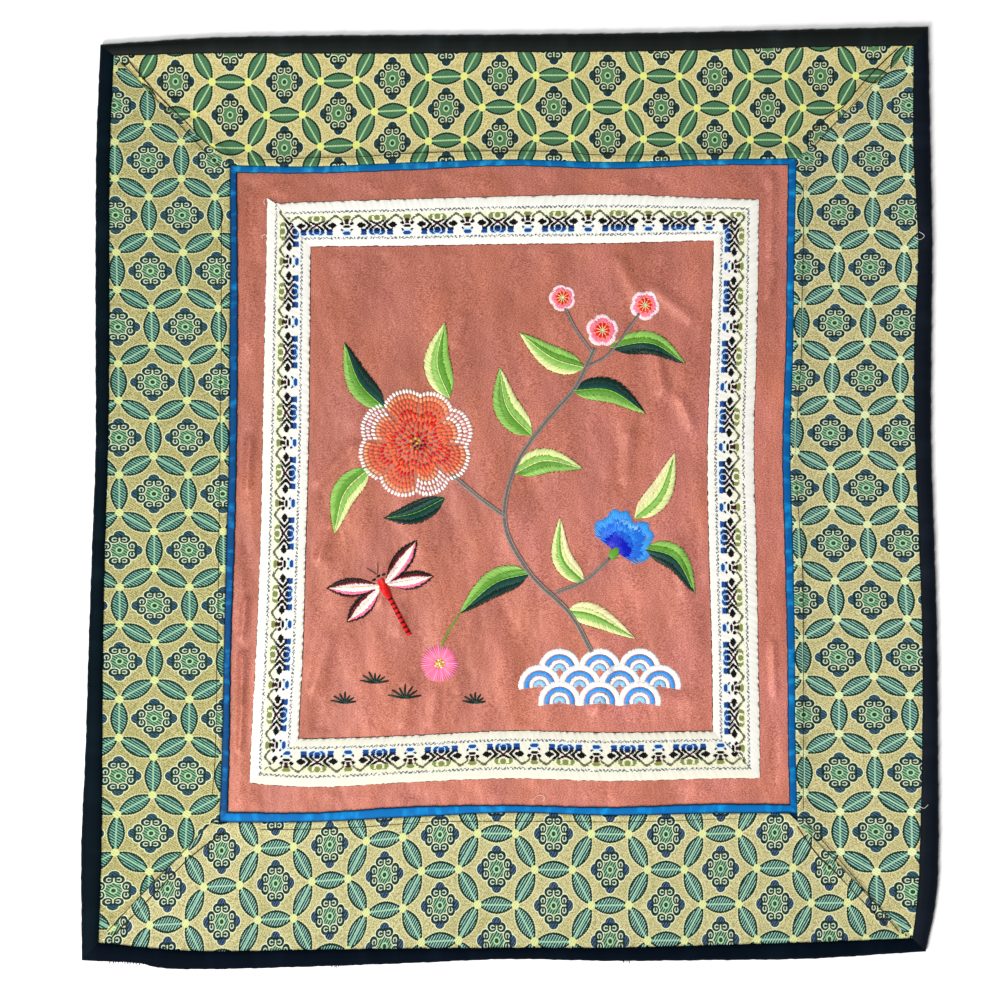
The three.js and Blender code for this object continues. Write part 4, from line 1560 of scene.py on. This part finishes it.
STEMS = (
    # middle line from root to tip, thickness and the dyes of its rows
    (((33, -62), (24, -46), (8, -30), (-2, -10), (2, 12), (14, 30), (26, 44), (34, 60)), 1.9, BARKY),
    (((-1, -8), (-12, 0), (-24, 10)), 1.5, BARKY),
    (((18, -38), (30, -33), (40, -24)), 1.4, BARKY),
    (((30, 52), (40, 58), (52, 74)), 1.0, TWIGGY),
    (((33, 58), (26, 68), (22, 76)), 1.0, TWIGGY),
    (((-20, -46), (-26, -56), (-28, -62)), 0.8, ("green",)),
)
TUFTS = (((-54, -74), 6.0), ((-42, -80), 7.0), ((-66, -82), 5.5), ((-14, -82), 5.5))
PLUM_BLOSSOMS = (((37, 67), 6.6, 90), ((54, 77), 6.0, 60), ((21, 80), 5.4, 110))


def make_embroidery():
    """Works the design from the back forwards and splits it into pieces."""
    for points, thick, dyes in STEMS:
        stem(points, thick, dyes)
    for points, width, left, right, vein in LEAVES:
        leaf(points, width, left, right, vein)
    waves()
    for spot, size in TUFTS:
        tuft(spot, size)
    seed_bloom((-37, 22))
    petal((40, -24), (43.5, -19.5), 5.0, ((0.0, 1.0, "green"),))
    long_bloom((43, -20), 14.5, 58)
    for spot, radius, turn in PLUM_BLOSSOMS:
        plum_blossom(spot, radius, turn)
    daisy((-28, -66), 7.6)
    dragonfly((-50, -36), 118)
    floss = floss_material("silk_floss", 0.36, 0.25)
    size = math.ceil(len(work) / math.ceil(len(work) / STITCHES_A_PIECE))
    for part, first in enumerate(range(0, len(work), size)):
        thread_piece("embroidery_%d" % (part + 1), work[first:first + size], field_surface, floss)
    work.clear()


# Sewing threads: the topstitching beside the piping, the seams of the mitres and loose ends

# Courses along a side are stations of (along, across); the others are points of the panel
TOPSTITCH = {
    "top": ((-99.9, 134.9), (-75.9, 135.9), (-59.9, 136.2), (-43.9, 137.4), (-23.9, 138.2),
            (-3.9, 138.6), (20.1, 138.2), (32.1, 137.1), (52.1, 136.9), (76.1, 137.6), (96.1, 138.2)),
    "bottom": ((-99.9, -132.4), (-75.9, -132.1), (-55.9, -131.1), (-39.9, -129.8), (-23.9, -129.1),
               (20.1, -129.1), (44.1, -129.3), (68.1, -128.6), (96.1, -127.6)),
    "left": ((-120.8, -119.0), (-104.8, -117.7), (-80.8, -117.0), (-64.8, -117.0), (-48.8, -116.5),
             (-24.8, -116.3), (7.2, -115.8), (39.2, -115.6), (59.2, -115.2), (119.2, -115.2)),
    "right": ((-124.8, 117.1), (-48.8, 117.1), (-24.8, 116.6), (-0.8, 114.9), (15.2, 113.9),
              (35.2, 114.9), (55.2, 116.3), (75.2, 116.5), (99.2, 117.1), (127.2, 117.1)),
}
MITRE_SEAMS = (
    ((-152.7, 175.2), (-144.7, 165.6), (-135.9, 156.4), (-129.5, 150.4), (-121.9, 142.4),
     (-112.7, 136.0)),
    ((154.9, 179.6), (146.1, 171.2), (138.9, 163.2), (133.3, 156.4), (126.5, 152.0), (117.3, 143.0)),
    ((-113.9, -133.2), (-125.9, -142.0), (-132.7, -148.4), (-143.9, -160.0), (-160.7, -177.2)),
    ((113.3, -128.8), (122.1, -141.6), (130.1, -149.6), (136.9, -156.8), (151.3, -172.0)),
)
# Painted shadows: dark lines laid like thread along the fold edges of the mitre laps, where each fold
# casts its thin shadow
FOLD_EDGE_SHADOWS = (
    ((-154.7, 173.6), (-135.0, 152.4), (-115.1, 131.2)),
    ((158.1, 179.2), (138.0, 158.4), (118.5, 137.2)),
    ((-120.7, -131.2), (-141.0, -152.0), (-161.6, -174.0)),
    ((114.9, -125.6), (136.0, -149.6), (155.7, -173.6)),
)
RIBBON_MITRE = ((85.7, -97.2), (91.0, -102.6), (96.9, -108.8))
MITRE_WORK = (
    # courses, then each stitch's length, the gap to the next one, its dye, half width and height
    (MITRE_SEAMS, 2.4, -0.3, "umber", 0.26, 0.35),
    # the painted shadow lines along the fold edges
    (FOLD_EDGE_SHADOWS, 3.0, -0.8, "fold", 0.18, 0.2),
    ((RIBBON_MITRE,), 1.2, 0.1, "umber", 0.13, 0.2),
)
# Brown hem stitches along the ribbon's edges, which also paint the shadow of the gap under each edge
HEMS_AND_SHADOWS = (
    # the ribbon's edge, its other edge, shift outwards, half width of the thread
    ("ribbon_inner", "ribbon_outer", -0.12, 0.2),
    ("ribbon_outer", "ribbon_inner", 0.1, 0.1),
)
HEM_STITCH = 1.3
# The second dye is the painted shadow along the mitres' fold edges, the third the ribbon's hem thread,
# which also paints the shadow under its edges
SEWING_DYES = {
    "umber": "#33240C", "fold": "#3A3014", "hem_and_shadow": "#4A2418", "lint": "#E8E2D8", "jet": "#0C1012",
}
DYE.update({name: np.array(linear(value)) for name, value in SEWING_DYES.items()})
LOOSE_ENDS = (
    # dye, height of what it lies on, then its course
    ("lint", 3.9, ((161.0, 104.0), (163.5, 103.0), (165.2, 104.6), (163.0, 106.2))),
    ("lint", 3.9, ((162.8, -122.4), (165.0, -123.6), (166.8, -122.0))),
    ("lint", 1.6, ((9.0, -120.6), (11.5, -118.6), (14.0, -119.4), (13.0, -121.4))),
    ("white", 2.2, ((-97.6, 105.4), (-98.9, 104.5), (-98.6, 103.2))),
    ("white", 2.0, ((-97.8, 117.0), (-98.2, 118.4), (-97.6, 119.6))),
    ("white", 2.0, ((-95.8, 116.8), (-94.8, 118.0), (-93.4, 118.4))),
)
# Frayed threads at the panel's lower rim: from, to and how many
FRAYS = ((-159.6, -146.8, 12), (-71.0, -68.6, 4), (45.0, 47.6, 4))


def run_stitches(points, length, gap, dye, half, height):
    """Running stitches along a course; a gap below 0 makes each overlap the next."""
    whole = long_of(points)
    for t in np.arange(0.0, 1.0 - length / whole, (length + gap) / whole):
        a, _ = spline(points, t)
        b, _ = spline(points, t + length / whole)
        stitch(a, b, dye, half=half, height=height, lift=0)


def level_at(height):
    """The ground of threads that lie at one height."""
    return lambda x, y: height + 0 * x


def make_sewing():
    """The seams that show on the brocade, with the painted shadows along the mitres' fold edges, and
    the ribbon's hems, which also paint the shadows under its edges, then the loose ends and the
    binding's frayed edge.
    """
    sewing = floss_material("sewing_cotton", 0.7, 0.15)

    def sew_on(name, ground):
        thread_piece(name, work, ground, sewing)
        work.clear()

    for side in SIDES:
        points = [on_panel(side, along, across) for along, across in TOPSTITCH[side]]
        run_stitches(points, 2.3, -0.3, "umber", 0.15, 0.3)
    sew_on("topstitching", level_at(TOPSTITCH_BASE))
    for side in SIDES:
        for near, far, shift, half in HEMS_AND_SHADOWS:
            line = (near, far, 0.0, shift)
            low, high = [corner(side, other, line) for other in ENDS[side]]
            along = np.arange(low, high, HEM_STITCH)
            across = line_at(side, line, along) + rng.uniform(-0.08, 0.08, len(along))
            points = list(zip(*on_panel(side, along, across)))
            for a, b in zip(points, points[1:]):
                stitch(a, b, "hem_and_shadow", half=half, height=0.2, lift=0)
    sew_on("ribbon_hems_and_shadows", field_surface)
    for courses, *how in MITRE_WORK:
        for points in courses:
            run_stitches(points, *how)
    sew_on("mitre_seams_and_fold_shadows", level_at(MITRE_BASE))
    for number, (dye, height, points) in enumerate(LOOSE_ENDS):
        run_stitches(points, 0.7, -0.1, dye, 0.1, 0.2)
        sew_on("loose_end_%d" % (number + 1), level_at(height))
    for low, high, count in FRAYS:
        for x in np.linspace(low, high, count):
            y = float(seam("bottom", "rim", x))
            out = rng.uniform(0.2, 0.9)
            stitch((x, y + 0.8), (x + rng.uniform(-0.5, 0.5), y - out), "jet", half=0.2, height=0.3)
    sew_on("binding_frays", level_at(FRAY_BASE))


make_field()
for number, side_name in enumerate(SIDES):
    make_brocade(side_name)
    make_piping(side_name, 3 + number)
    make_binding(side_name, 7 + number)
    make_ribbon(side_name, 11 + number)
make_embroidery()
make_sewing()
